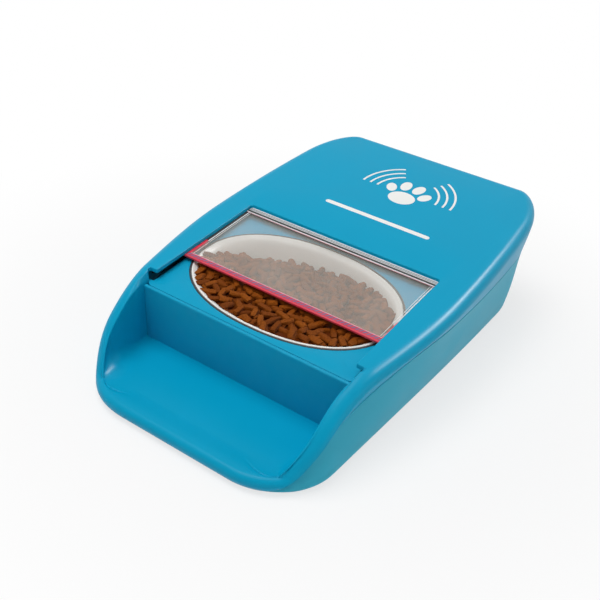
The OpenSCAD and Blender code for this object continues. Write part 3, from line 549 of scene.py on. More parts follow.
# All points of the upper shell at one place of the half plan, from the tray floor
# over the rim, down the side and back along the inside
def shell_column(k):
    plan, out, mouth, away = OUTER[k], OUTER_OUT[k], MOUTH[k], MOUTH_OUT[k]
    y = plan[1]
    r = edge_r(y)
    w = side_share(y)
    crest = under_rim(plan, out, -r, 0)
    band = float(np.hypot(crest[0] - mouth[0], crest[1] - mouth[1]))
    tray = k < TRAY_COUNT
    lip_n = LIP_N + LIP_RISE * ease((mouth[1] - 10) / 6)
    section = (tray_section(mouth[1], band) if tray else
               [(0, 0)] * TRAY_ROWS + window_section(mouth[1], lip_n))
    column = [place(mouth, away, a, z) for a, z in section]
    for point in column:
        point[2] += 0 if tray else deck_at(point[1]) - deck_at(mouth[1])
    start = column[-1]
    for t in (0.33, 0.67):
        middle = start + (crest - start) * t
        middle[2] = rim_at(middle[1])
        column.append(middle)
    column.append(crest)
    mix = front_share(mouth[0]) if tray else 0
    shares = [j / SWEEP_ROWS for j in range(SWEEP_ROWS + 1)]
    blend(column, 0, shares, mouth, away, crest, mix, 0)
    for j in range(1, EDGE_ROWS + 1):
        angle = radians(90 / EDGE_ROWS * j)
        column.append(under_rim(plan, out, -r * (1 - sin(angle)), r * (1 - cos(angle))))
    shoulder, seam = rim_at(y) - r, seam_at(y) + SEAM_GAP / 2
    inset = seam_inset(y)
    for j in range(1, SEAM_ROWS + 1):
        t = j / SEAM_ROWS
        z = shoulder + (seam + 0.4 - shoulder) * t
        bowed = UNDER_R - sqrt(UNDER_R ** 2 - min(UNDER_R, max(0, UNDER_R + 1 - z)) ** 2)
        bowed = min(bowed, inset)
        column.append(place(plan, out, -inset * t ** 1.15 * w - bowed * (1 - w), z))
    wall = 1.8 * (0.35 + 0.65 * w)
    column.append(place(plan, out, -inset - 0.35, seam))
    column.append(place(plan, out, -inset - wall, seam))
    column.append(place(plan, out, -0.5 * inset - wall, (seam + shoulder) / 2))
    inner = 2.4 * (0.5 + 0.5 * w)
    column.append(place(plan, out, -inner, shoulder))
    slant = r * REST_45 + COS_45 * inner
    column.append(under_rim(plan, out, -slant, slant))
    column.append(under_rim(plan, out, -r, inner))
    if tray:
        thick = 0.7 + 0.9 * w
        top = section[-1]
        column.append(place(mouth, away, top[0] + 0.2, top[1] - inner))
        column.append(place(mouth, away, thick, section[TRAY_ROWS][1]))
        floor = floor_at(mouth[1])
        fillet, reach = fillet_at(mouth[1]), reach_at(mouth[1])
        column.append(place(mouth, away, thick, section[TRAY_ROWS - 1][1]))
        for j in reversed(range(TRAY_ROWS - 1)):
            angle = radians(90 - 15 * j)
            across = -reach + (reach + thick) * cos(angle)
            column.append(place(mouth, away, across, floor + fillet - (fillet + thick) * sin(angle)))
        blend(column, len(column) - len(INNER_STEPS), INNER_STEPS, mouth, away, crest, mix, LIP_THICK)
    else:
        top = deck_at(mouth[1])
        column.append(place(mouth, away, 2.2, top - (DECK_N - LIP_BACK) / cos(SLOPE)))
        column.append(place(mouth, away, 2.0, section[TRAY_ROWS][1]))
        column += [column[-1]] * TRAY_ROWS
    return column


# The whole round, from the half plan and its mirror image
def both_halves(half):
    mirrored = [np.array([[-p[0], p[1], p[2]] for p in column]) for column in half[-2:0:-1]]
    return np.array([np.array(column) for column in half] + mirrored)


# An object in the scene from points in millimetres
def raw_object(name, points, edges, faces):
    mesh = bpy.data.meshes.new(name)
    mesh.from_pydata([tuple(float(v) * MM for v in p) for p in points], edges, faces)
    obj = bpy.data.objects.new(name, mesh)
    bpy.context.scene.collection.objects.link(obj)
    return obj


def new_object(name, points, faces, finish, smooth_angle=35, merge=True):
    obj = raw_object(name, points, [], faces)
    tidy_mesh(obj, merge)
    obj.data.materials.append(finish)
    soften(obj, smooth_angle)
    return obj


# Puts a piece on the body it rides on and hides the CAD pieces it stands for
def hand_over(obj, body, slot, *stands_for):
    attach(obj, body)
    if stands_for:
        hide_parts(*stands_for)


# Welds what meets and turns the faces outwards, or upwards on an open sheet
def tidy_mesh(obj, merge=True, face_up=False):
    work = bmesh.new()
    work.from_mesh(obj.data)
    if merge:
        bmesh.ops.remove_doubles(work, verts=work.verts, dist=2e-6)
        bmesh.ops.dissolve_degenerate(work, edges=work.edges, dist=1e-6)
    bmesh.ops.recalc_face_normals(work, faces=work.faces)
    if face_up and sum(face.normal.z for face in work.faces) < 0:
        bmesh.ops.reverse_faces(work, faces=work.faces)
    work.to_mesh(obj.data)
    work.free()


def soften(obj, smooth_angle):
    obj.data.shade_smooth()
    obj.data.set_sharp_from_angle(angle=radians(smooth_angle))


def make_top_shell():
    half = [shell_column(k) for k in range(len(OUTER))]
    columns = both_halves(half)
    columns[..., 2] = np.minimum(columns[..., 2], TOP_Z)
    count, rows = len(columns), len(columns[0])
    last, inner = TRAY_COUNT - 1, rows - TRAY_ROWS - 1

    def index(i, j):
        return (i % count) * rows + j

    tray = [i <= last or i >= count - last for i in range(count)]
    faces = []
    for i in range(count):
        both_tray = tray[i] and tray[(i + 1) % count]
        for j in range(rows - 1):
            if TRAY_ROWS <= j < inner or both_tray:
                faces.append((index(i, j), index(i + 1, j), index(i + 1, j + 1), index(i, j + 1)))
        if not both_tray:
            faces.append((index(i, inner), index(i + 1, inner),
                          index(i + 1, TRAY_ROWS), index(i, TRAY_ROWS)))
    for i in (last, count - last):
        for j in range(TRAY_ROWS):
            faces.append((index(i, j), index(i, j + 1), index(i, rows - 2 - j), index(i, rows - 1 - j)))
    floor = [i % count for i in range(-last, last + 1)]
    faces.append([index(i, 0) for i in floor])
    faces.append([index(i, rows - 1) for i in reversed(floor)])
    faces.append((index(last, 0), index(-last, 0), index(-last, rows - 1), index(last, rows - 1)))
    used = sorted({v for face in faces for v in face})
    points = columns.reshape(-1, 3)
    number = {v: k for k, v in enumerate(used)}
    faces = [[number[v] for v in face] for face in faces]
    return new_object("upper_shell", points[used], faces, FINISH["body_plastic"], 40)


# Tools for the smaller pieces: walls between rings of points
def ring_walls(rings, count, close=False):
    faces = []
    for j in range(rings if close else rings - 1):
        after = (j + 1) % rings * count
        for k in range(count):
            right = (k + 1) % count
            faces.append((j * count + k, j * count + right, after + right, after + k))
    return faces


# A solid between two equal outlines
def prism(first, second):
    count = len(first)
    ends = [list(range(count)), list(range(count, 2 * count))[::-1]]
    return list(first) + list(second), ring_walls(2, count) + ends


# A solid turned round an axis from (radius, height) pairs
def turned(profile, centre, axis="Z", sides=48):
    points = []
    for radius, height in profile:
        for k in range(sides):
            a = 2 * pi * k / sides
            u, v = radius * cos(a), radius * sin(a)
            local = {"Z": (u, v, height), "Y": (u, height, v), "X": (height, u, v)}[axis]
            points.append(tuple(np.add(local, centre)))
    faces = ring_walls(len(profile), sides)
    faces.append(list(range(sides)))
    faces.append([(len(profile) - 1) * sides + k for k in range(sides)][::-1])
    return points, faces


def gathered(parts):
    points, faces = [], []
    for part_points, part_faces in parts:
        start = len(points)
        points += list(part_points)
        faces += [[v + start for v in face] for face in part_faces]
    return points, faces


def span(side, near, far):
    return sorted((side * near, side * far))


def box(low, high, slope=False):
    corners = [(x, y, z) for x in (low[0], high[0]) for y in (low[1], high[1]) for z in (low[2], high[2])]
    if slope:
        corners = [on_slope(*c) for c in corners]
    faces = [(0, 1, 3, 2), (4, 6, 7, 5), (0, 4, 5, 1), (2, 3, 7, 6), (0, 2, 6, 4), (1, 5, 7, 3)]
    return corners, faces


def apply_modifiers(obj):
    graph = bpy.context.evaluated_depsgraph_get()
    result = bpy.data.meshes.new_from_object(obj.evaluated_get(graph))
    obj.modifiers.clear()
    old = obj.data
    obj.data = result
    bpy.data.meshes.remove(old)


# Takes the cutters away from a piece, or joins them to it
def cut_away(obj, cutters, smooth_angle=35, join=False):
    tool = new_object("cutter", *gathered(cutters), FINISH["dark_plastic"], merge=False)
    change = obj.modifiers.new("cut", "BOOLEAN")
    change.operation = "UNION" if join else "DIFFERENCE"
    change.solver = "EXACT"
    change.object = tool
    apply_modifiers(obj)
    bpy.data.objects.remove(tool)
    while len(obj.data.materials) > 1:
        obj.data.materials.pop()
    obj.data.polygons.foreach_set("material_index", [0] * len(obj.data.polygons))
    soften(obj, smooth_angle)


def round_edges(obj, width, segments=3, angle=40, smooth_angle=35):
    change = obj.modifiers.new("edges", "BEVEL")
    change.width = width * MM
    change.segments = segments
    change.limit_method = "ANGLE"
    change.angle_limit = radians(angle)
    change.harden_normals = False
    apply_modifiers(obj)
    soften(obj, smooth_angle)


# Runs a geometry tree on a piece, with its named inputs, and keeps the result
def grow(obj, tree, values):
    change = obj.modifiers.new(tree.name, "NODES")
    change.node_group = tree
    for item in tree.interface.items_tree:
        if item.in_out == "INPUT" and item.name in values:
            change[item.identifier] = values[item.name]
    apply_modifiers(obj)


BUTTON_X, BUTTON_Z = 17, 73
top_shell = make_top_shell()
holes = [turned([(5.35, 150), (5.35, 190)], (x, 0, BUTTON_Z), "Y") for x in (-BUTTON_X, BUTTON_X)]
holes.append(turned([(1.6, 150), (1.6, 190)], (0, 0, BUTTON_Z), "Y", 24))
cut_away(top_shell, holes, 40)
hand_over(top_shell, "housing", "body_plastic", "top_shell")


# Plain white mark on the rear deck: a paw with radio waves over a line
MARK_X, MARK_S, MARK_HIGH = 6, 214, 0.12


def mark_piece(outline):
    levels = (DECK_N - 0.3, DECK_N + MARK_HIGH)
    return prism(*([on_slope(MARK_X + u, MARK_S + v, n) for u, v in outline] for n in levels))


def pad(u, v, wide, high, turn=0):
    ring = []
    for k in range(32):
        a = 2 * pi * k / 32
        x, y = wide * cos(a), high * sin(a)
        ring.append((u + x * cos(turn) - y * sin(turn),
                     v + x * sin(turn) + y * cos(turn)))
    return ring


def wave(radius, thick, low, high):
    angles = [radians(low + (high - low) * k / 20) for k in range(21)]
    ring = [(radius * cos(a), radius * sin(a)) for a in angles]
    inner = radius - thick
    return ring + [(inner * cos(a), inner * sin(a)) for a in reversed(angles)]


PADS = [pad(0, -7, 12, 9.5), pad(-16, 4, 4.5, 6.6, 0.5), pad(-6.2, 12, 4.8, 7.4, 0.15),
        pad(6.2, 12, 4.8, 7.4, -0.15), pad(16, 4, 4.5, 6.6, -0.5)]
WAVES = [wave(radius, 1.8, start, start + 60) for radius in (29, 36, 43) for start in (0, 120)]
LINE = [(-47 + 2.2 * cos(a), -47 + 2.2 * sin(a)) for a in np.linspace(0.5 * pi, 1.5 * pi, 9)]
LINE += [(-u, v) for u, v in reversed(LINE)]
mark_parts = gathered([mark_piece(outline) for outline in PADS + WAVES + [LINE]])
mark = new_object("deck_mark", *mark_parts, FINISH["bowl_white"], 35)
hand_over(mark, "housing", "bowl_white")


# Small ledges of the deck moulding that close the notch beside the riser
for side, name in ((-1, "left"), (1, "right")):
    low, high = span(side, 92.5, 96.3)
    ledge = new_object("notch_ledge_" + name, *box((low, 2.3, -4), (high, 6.4, -0.4), slope=True),
                       FINISH["body_plastic"])
    round_edges(ledge, 0.3, 3)
    hand_over(ledge, "housing", "body_plastic")


# Lower shell: its foot, its wall, and the heights of its rows as shares of the side
FOOT_FRONT, FOOT_BACK, BASE_WALL = -177.7, 171.5, 2.2
OUTER_LEVELS = (0.015, 0.04, 0.075, 0.12, 0.17, 0.22, 0.3, 0.4, 0.5, 0.6, 0.7, 0.8, 0.88, 0.95)
INNER_LEVELS = (1, 0.8, 0.6, 0.4, 0.3, 0.2)


def low_plan(k):
    y = OUTER[k][1]
    if k < FRONT_STEPS:
        return np.array([base_x(FOOT_FRONT) * k / FRONT_STEPS, FOOT_FRONT])
    if k > len(OUTER) - END_STEPS - 2:
        return np.array([base_x(FOOT_BACK) * (len(OUTER) - 1 - k) / END_STEPS, FOOT_BACK])
    v = FOOT_FRONT + (FOOT_BACK - FOOT_FRONT) * (y - Y_FRONT) / (Y_BACK - Y_FRONT)
    return np.array([base_x(v), v])


BASE_LOW = [low_plan(k) for k in range(len(OUTER))]
BASE_OUT = outward([tuple(p) for p in BASE_LOW])


def base_out_at(f, y):
    rounded = -1.8 - 4.7 * (1 - f) ** 2
    upright = -6.5 * (1 - f / 0.22) ** 2 if f < 0.22 else 1.2 * sin(pi * (f - 0.22) / 0.78)
    share = ease((y + 172) / 50)
    return upright * share + rounded * (1 - share)


def base_point(k, f, inset):
    y = OUTER[k][1]
    w = side_share(y)
    thick = inset * (0.3 + 0.7 * w)
    top = np.array(OUTER[k]) + OUTER_OUT[k] * (-seam_inset(y) - thick)
    low = BASE_LOW[k] + BASE_OUT[k] * (base_out_at(f, y) - thick)
    q = low + (top - low) * max(0, (f - 0.2) / 0.8)
    seam = seam_at(y) - SEAM_GAP / 2
    return np.array([q[0], q[1], 1 + (seam - 1) * f])


def make_base_shell():
    half = []
    for k in range(len(OUTER)):
        column = [place(BASE_LOW[k], BASE_OUT[k], -11, 1), place(BASE_LOW[k], BASE_OUT[k], -8.5, 1)]
        column += [base_point(k, f, 0) for f in OUTER_LEVELS]
        rim = base_point(k, 1, 0.25)
        edge = base_point(k, 1, 0)
        edge[2] -= 0.35
        column += [edge, rim]
        column += [base_point(k, f, BASE_WALL) for f in INNER_LEVELS]
        column.append(place(BASE_LOW[k], BASE_OUT[k], -14, 3.4))
        half.append(column)
    columns = both_halves(half)
    count, rows = len(columns), len(columns[0])
    faces = []
    for i in range(count):
        for j in range(rows - 1):
            here, beside = i * rows + j, (i + 1) % count * rows + j
            faces.append((here, beside, beside + 1, here + 1))
    faces.append([i * rows for i in range(count)])
    faces.append([i * rows + rows - 1 for i in reversed(range(count))])
    return new_object("lower_shell", columns.reshape(-1, 3), faces, FINISH["base_plastic"], 40)


DOOR_X, DOOR_LOW, DOOR_HIGH, POST_FOOT = 56.5, 10.4, 46.2, 2.6
FEET = [(78, -138), (78, 136)]
SHELL_SCREWS = [(76, 156), (58, -128)]
POST_TOP = {SHELL_SCREWS[0]: 19.9, SHELL_SCREWS[1]: 4.9}
CARRIER_SCREWS = [(72, -84), (72, 6)]
BOARD_POSTS = [(-76, 44), (-76, 94), (-12, 44), (-12, 94)]
GEARBOX_FEET = [(50, 29), (50, 60), (79.6, 29), (79.6, 60)]


def mirrored(places):
    return [(side * x, y) for x, y in places for side in (-1, 1)]


# Posts, the frame round the battery opening, then the opening, the screw holes and the feet's seats
base_shell = make_base_shell()
posts = []
for x, y in mirrored(SHELL_SCREWS):
    posts.append(turned([(4.2, POST_FOOT), (4, POST_TOP[(abs(x), y)])], (x, y, 0)))
for places, low, top in (
        (mirrored(CARRIER_SCREWS), 4.2, 8.95), (BOARD_POSTS, 3.2, 7.95), (GEARBOX_FEET, 3.6, 8.95)):
    posts += [turned([(low, POST_FOOT), (low - 0.2, top)], (x, y, 0)) for x, y in places]
cut_away(base_shell, posts, 40, join=True)
frame_wall = box((-DOOR_X - 3.5, 164.6, 7.4), (DOOR_X + 3.5, 169.6, 50.4))
cut_away(base_shell, [frame_wall], 40, join=True)
cutters = [box((-DOOR_X, 150, DOOR_LOW), (DOOR_X, 190, DOOR_HIGH))]
for x, y in mirrored(SHELL_SCREWS):
    cutters.append(turned([(3.3, -1), (3.3, 2.5), (1.75, 2.5), (1.75, 30)], (x, y, 0)))
cutters += [turned([(7.15, -1), (7.15, 1.6)], (x, y, 0)) for x, y in mirrored(FEET)]
cut_away(base_shell, cutters, 40)
hand_over(base_shell, "housing", "base_plastic", "base_shell")


# Battery door: panel with a grip and fine ribs, on a barrel along its top edge
HINGE_Y, HINGE_Z, KNUCKLE = 169.4, 43.2, 51.5
door_panel = new_object("door_panel", *box((0.4 - DOOR_X, 168.6, 10.8), (DOOR_X - 0.4, 171, 39)),
                        FINISH["base_plastic"])
round_edges(door_panel, 0.5, 3)
cut_away(door_panel, [box((-KNUCKLE, 168.7, 30), (KNUCKLE, 170.9, HINGE_Z))], join=True)
cut_away(door_panel, [turned([(2.4, -KNUCKLE), (2.4, KNUCKLE)], (0, HINGE_Y, HINGE_Z), "X", 40)], join=True)
cut_away(door_panel, [turned([(1.06, -60), (1.06, 60)], (0, HINGE_Y, HINGE_Z), "X", 24)])
door_grip = new_object("door_grip", *box((-9, 170.8, 12.4), (9, 171.6, 14)), FINISH["base_plastic"])
round_edges(door_grip, 0.3, 3)
RIB_PLACES = [18 + 2.4 * k for k in range(8)]
ribs = gathered([box((-28, 170.9, z), (28, 171.45, z + 0.9)) for z in RIB_PLACES])
door_ribs = new_object("door_ribs", *ribs, FINISH["base_plastic"])
round_edges(door_ribs, 0.22, 2)
for piece in (door_panel, door_grip, door_ribs):
    hand_over(piece, "door", "base_plastic", "battery_door")


# Screws in the underside, with a cross recess in each head
SCREW_HEAD = [(2.4, 0.65), (2.75, 0.85), (2.8, 1.3), (2.8, 2.4), (1.4, 2.45)]
SCREW_TOP = {SHELL_SCREWS[0]: 30.2, SHELL_SCREWS[1]: 8.2}
shanks, crosses = [], []
for x, y in mirrored(SHELL_SCREWS):
    top = SCREW_TOP[(abs(x), y)]
    shanks.append(turned(SCREW_HEAD + [(1.4, top - 1.2), (0.4, top)], (x, y, 0), "Z", 32))
    crosses += [box((x - 1.7, y - 0.32, 0), (x + 1.7, y + 0.32, 1.5)),
                box((x - 0.32, y - 1.7, 0), (x + 0.32, y + 1.7, 1.5))]
screws = new_object("underside_screws", *gathered(shanks), FINISH["steel"])
for start in (0, 1):
    cut_away(screws, crosses[start::2])
hand_over(screws, "housing", "steel", "shell_screws")


# Inner moulding: riser behind the tray with a narrow top strip, and the walls that hold the panel
RISER_HALF, RISER_EDGE, STRIP_S, SEAT_N = 92.35, 1.3, 0.3, -2.45
CARRIER_FOOT, BULKHEAD_Y, WALL_IN, WALL_OUT = 9.1, 16.1, 87, 89.2


def make_carrier():
    front = []
    for k in range(6, -1, -1):
        angle = radians(15 * k)
        back, down = RISER_EDGE * (1 - sin(angle)), RISER_EDGE * (1 - cos(angle))
        front.append(on_slope(0, back - 2.2, -down))
    outline = [(-102.6, 12.6), (front[0][1], front[0][2] - 0.2)] + [q[1:] for q in front]
    strip = [(STRIP_S - 0.25, 0), (STRIP_S, -0.25), (STRIP_S, SEAT_N), (6, SEAT_N), (6, -5)]
    outline += [on_slope(0, s, n)[1:] for s, n in strip]
    outline += [(-101, on_slope(0, 3, -5)[2]), (-100.2, 12.6)]
    sides = ([(x, *q) for q in outline] for x in (-RISER_HALF, RISER_HALF))
    board = new_object("riser_board", *prism(*sides), FINISH["body_plastic"], 35)
    pairs = [span(side, WALL_IN, WALL_OUT) for side in (-1, 1)]
    added = [box((low, -102, CARRIER_FOOT), (high, BULKHEAD_Y + 1, 48)) for low, high in pairs]
    added += [box((low, 0.5, -30), (high, 118, -5), slope=True) for low, high in pairs]
    added.append(box((-WALL_OUT, BULKHEAD_Y, CARRIER_FOOT), (WALL_OUT, BULKHEAD_Y + 2.4, 78)))
    added.append(box((-WALL_OUT, 119.9, -8), (WALL_OUT, 122.2, SEAT_N), slope=True))
    for piece in added:
        cut_away(board, [piece], 35, join=True)
    feet = []
    for x, y in mirrored(CARRIER_SCREWS):
        low, high = (x - 6, x + 16) if x > 0 else (x - 16, x + 6)
        feet.append(box((low, y - 7, CARRIER_FOOT), (high, y + 7, CARRIER_FOOT + 2.4)))
    cut_away(board, feet, 35, join=True)
    cutters = [turned([(1.7, 0), (1.7, 30)], (x, y, 0), "Z", 24) for x, y in mirrored(CARRIER_SCREWS)]
    for low, high in (
            ((6.02, -4.9), (119.85, 30)), ((122.3, -30), (140, 60)), ((119, SEAT_N + 0.02), (130, 30))):
        cutters.append(box((-100, *low), (100, *high), slope=True))
    for cutter in cutters:
        cut_away(board, [cutter], 35)
    return board


hand_over(make_carrier(), "housing", "body_plastic", "bowl_carrier")


# Bowl, its gasket and the panel round it
BOWL_A, BOWL_B, BOWL_S, OVAL, OVAL_STEPS = 86.5, 55.9, 62.5, 2.2, 160


# A point of the bowl's oval, and how far out a point lies, with 1 on the oval itself
def oval_point(a, b, turn):
    c, s = cos(turn), sin(turn)
    return a * copysign(abs(c) ** (2 / OVAL), c), b * copysign(abs(s) ** (2 / OVAL), s)


def oval_level(x, y, a, b):
    return ((abs(x) / a) ** OVAL + (abs(y) / b) ** OVAL) ** (1 / OVAL)


# The oval, grown across and along, at a height above the slope
def oval(grow_a, grow_b, n):
    ring = []
    for k in range(OVAL_STEPS):
        x, y = oval_point(BOWL_A + grow_a, BOWL_B + grow_b, 2 * pi * k / OVAL_STEPS)
        ring.append(on_slope(x, BOWL_S + y, n))
    return ring


# A solid through equal rings, with ends or closed on itself
def lofted(name, rings, finish, smooth_angle=35, close=False):
    count = len(rings[0])
    faces = ring_walls(len(rings), count, close)
    if not close:
        faces.append(list(range(count)))
        faces.append([(len(rings) - 1) * count + k for k in reversed(range(count))])
    return new_object(name, [p for ring in rings for p in ring], faces, finish, smooth_angle)


# A smooth curve through points
def curve_through(points, spans):
    result = []
    last = len(points) - 1
    for k in range(last):
        a, b = np.array(points[max(0, k - 1)]), np.array(points[k])
        c, d = np.array(points[k + 1]), np.array(points[min(last, k + 2)])
        for j in range(spans):
            t = j / spans
            result.append(0.5 * (2 * b + (c - a) * t + (2 * a - 5 * b + 4 * c - d) * t * t
                                 + (3 * b - a - 3 * c + d) * t ** 3))
    result.append(np.array(points[-1]))
    return result


OUTER_WALL = [(-27, -22, -38), (-22, -17.4, -35.5), (-13, -10.6, -22), (-6.4, -5.1, -8), (-3.2, -3, -1.4)]
INNER_WALL = [(-1.3, -1.3, 0.3), (-2.3, -2.2, -0.5), (-5.0, -4.7, -3.04), (-8.7, -7.3, -9.1),
              (-15.4, -12.8, -22.8), (-24.4, -19.6, -33), (-31, -25.4, -35.7)]
BOWL_EDGE = [(-0.6, -0.6, -1.4), (-0.1, -0.1, -1.05), (0, 0, -0.6), (-0.05, -0.05, -0.1), (-0.3, -0.3, 0.2),
             (-0.75, -0.75, 0.36)]
section = curve_through(OUTER_WALL, 5) + BOWL_EDGE + curve_through(INNER_WALL, 5)
bowl = lofted("bowl_dish", [oval(*p) for p in section], FINISH["bowl_white"], 50)
hand_over(bowl, "housing", "bowl_white", "bowl")

RING_SECTION = [(1.6, -2.35), (1.6, 0.0), (1.35, 0.18), (0.8, 0.26), (0.3, 0.18), (0.1, -0.1),
                (0.1, -1.45), (-2, -1.45), (-2, -2.35)]
rings = [oval(out, out, n) for out, n in RING_SECTION]
gasket = lofted("bowl_ring", rings, FINISH["black_rubber"], 40, close=True)
hand_over(gasket, "housing", "black_rubber", "bowl_gasket")


PANEL_X, PANEL_S, PANEL_CORNER, RACK_CLEAR = 92.3, (0.6, 122), 0.6, 90.3


# The point of the panel's outline that faces each point of the oval
def panel_edge(inset, n):
    ring = []
    half_x = PANEL_X - inset
    low, high = PANEL_S[0] + inset, PANEL_S[1] - inset
    for p in oval(0, 0, 0):
        x, y = p[0], (p[1] - RISER_Y) / cos(SLOPE) - BOWL_S
        reach_y = (high - BOWL_S) if y > 0 else (BOWL_S - low)
        scale = min(half_x / max(1e-6, abs(x)), reach_y / max(1e-6, abs(y)))
        px, py = x * scale, y * scale
        ax, ay = max(0, abs(px) - half_x + PANEL_CORNER), max(0, abs(py) - reach_y + PANEL_CORNER)
        if ax > 0 and ay > 0:
            shrink = PANEL_CORNER / max(PANEL_CORNER, hypot(ax, ay))
            px = copysign(half_x - PANEL_CORNER + ax * shrink, px)
            py = copysign(reach_y - PANEL_CORNER + ay * shrink, py)
        ring.append(on_slope(px, BOWL_S + py, n))
    return ring


panel = lofted("bowl_panel", [
    oval(1.65, 1.65, -2.4), oval(1.65, 1.65, -0.5), oval(1.8, 1.8, -0.15), oval(2.15, 2.15, 0),
    panel_edge(0.3, 0), panel_edge(0.08, -0.08), panel_edge(0, -0.3), panel_edge(0, -2.4)],
    FINISH["body_plastic"], 40, close=True)
for side in (-1, 1):
    low, high = span(side, RACK_CLEAR, 100)
    cut_away(panel, [box((low, 6.4, -5), (high, 130, 5), slope=True)], 40)
hand_over(panel, "housing", "body_plastic", "bowl_platform")


# Lid: clear plate, seal on three sides
LID_S, ARM_END, PLATE_X, PLATE_S, PLATE_N = 40.4, 66.4, 87, (45.45, 161.35), (3, 5.2)


def slab(name, low, high, finish, width, segments=3):
    obj = new_object(name, *box(low, high, slope=True), finish)
    round_edges(obj, width, segments)
    return obj


plate = slab("lid_pane", (-PLATE_X, PLATE_S[0], PLATE_N[0]), (PLATE_X, PLATE_S[1], PLATE_N[1]),
             FINISH["clear_plate"], 0.3)
hand_over(plate, "lid", "clear_plate", "lid_plate")

# Section of the front seal: a rounded head, and a lip set back under it
SEAL_SECTION = [(5, 5.2), (5, 0.8), (3.8, 0.8), (3.3, 1.2), (3.1, 2.6), (1.5, 2.7), (0.75, 2.9), (0.4, 3.3),
                (0.3, 4.2), (0.45, 4.8), (0.9, 5.15), (1.4, 5.2)]
SEAL_HALF = 92.3

# Front bar, then an arm, a lip on it and a dark tail along each side
bar_ends = ([on_slope(x, LID_S + s, n) for s, n in SEAL_SECTION] for x in (-SEAL_HALF, SEAL_HALF))
seal_bars = [(new_object("seal_front", *prism(*bar_ends), FINISH["red_rubber"]), "red_rubber")]
for side, name in ((-1, "left"), (1, "right")):
    low, high = span(side, 87.1, 89.6)
    inner = span(side, 86.7, 89.6)
    bars = [("arm", (low, LID_S + 4.9, 1.6), (high, ARM_END, 5.2), "red_rubber", 0.4, 3),
            ("lip", (inner[0], LID_S + 4.6, 5.1), (inner[1], ARM_END, 5.4), "red_rubber", 0.12, 2),
            ("tail", (low, ARM_END, 1.6), (high, PLATE_S[1], 5.0), "black_rubber", 0.4, 3)]
    for label, start, stop, slot, width, steps_round in bars:
        bar = slab(f"seal_{label}_{name}", start, stop, FINISH[slot], width, steps_round)
        seal_bars.append((bar, slot))
for bar, slot in seal_bars:
    hand_over(bar, "lid", slot, "lid_seal")

# Lines along the plate: its front edge, then along each side a pale edge and a fine pale line beside it,
# painted highlights of the clear plate's side edges
EDGES = [("lid_front_line", (-86.6, LID_S + 5, 5.1), (86.6, LID_S + 5.6, 5.32), PINK_LINE)]
for side, name in ((-1, "left"), (1, "right")):
    for label, near, far, start in (("edge", 86.2, 87.0, ARM_END - 1), ("line", 84.6, 85.0, LID_S + 5.6)):
        low, high = span(side, near, far)
        stop = (high, PLATE_S[1] - 0.3, 5.3)
        EDGES.append((f"lid_{label}_{name}", (low, start, 5.1), stop, FINISH["pale_plastic"]))
for name, low, high, finish in EDGES:
    hand_over(slab(name, low, high, finish, 0.08, 2), "lid", "pale_plastic")


# Helpers for the geometry trees
def position_parts(tree):
    where = tree.nodes.new("GeometryNodeInputPosition").outputs[0]
    return add_node(tree, "ShaderNodeSeparateXYZ", {0: where}).outputs


def put_out(tree, shape, start, end):
    paint = made(tree, "GeometryNodeSetMaterial", {"Geometry": shape, "Material": start["Finish"]})
    feed(tree, end, {0: paint})


# Small slanted dashes set into the rear half of the front seal, strewn along a line
DASH_LEAN = 0.7


def dash_tree():
    tree, start, end = new_group(
        "seal_dashes", "GeometryNodeTree",
        [("Geometry", GEOMETRY, None), ("Pitch", FLOAT, 0.0035), ("Size", VECTOR, None),
         ("Finish", PAINT, None)],
        [("Geometry", GEOMETRY)])
    line = made(tree, "GeometryNodeMeshToCurve", {0: start["Geometry"]})
    places = made(tree, "GeometryNodeResampleCurve", {"Curve": line, "Length": start["Pitch"]},
                  mode="LENGTH")
    block = add_node(tree, "GeometryNodeMeshCube", {"Size": start["Size"]}).outputs["Mesh"]
    turn = made(tree, "GeometryNodeTransform", {"Geometry": block, "Rotation": (SLOPE, 0, 0)})
    lean = math_node(tree, "MULTIPLY", position_parts(tree)["Y"], DASH_LEAN)
    lean = made(tree, "ShaderNodeCombineXYZ", {"X": lean})
    slant = made(tree, "GeometryNodeSetPosition", {"Geometry": turn, "Offset": lean})
    strewn = made(tree, "GeometryNodeInstanceOnPoints", {"Points": places, "Instance": slant})
    real = made(tree, "GeometryNodeRealizeInstances", {0: strewn})
    put_out(tree, real, start, end)
    return tree


# Grows a piece along a line on the slope
def along_line(name, ends, tree, values):
    obj = raw_object(name, [on_slope(*p) for p in ends], [(0, 1)], [])
    grow(obj, tree, values)
    tidy_mesh(obj, False)
    return obj


band = slab("seal_band", (-88, LID_S + 1.3, 5.1), (88, LID_S + 4.9, 5.24), BAND_FINISH, 0.06, 2)
dashes = along_line("seal_dashes", [(-86.5, LID_S + 3.2, 5.25), (87, LID_S + 3.2, 5.25)], dash_tree(),
                    {"Pitch": 0.0031, "Size": (0.0015, 0.0027, 0.00018), "Finish": SEAL_DASH})
for piece in (band, dashes):
    hand_over(piece, "lid", "red_rubber")
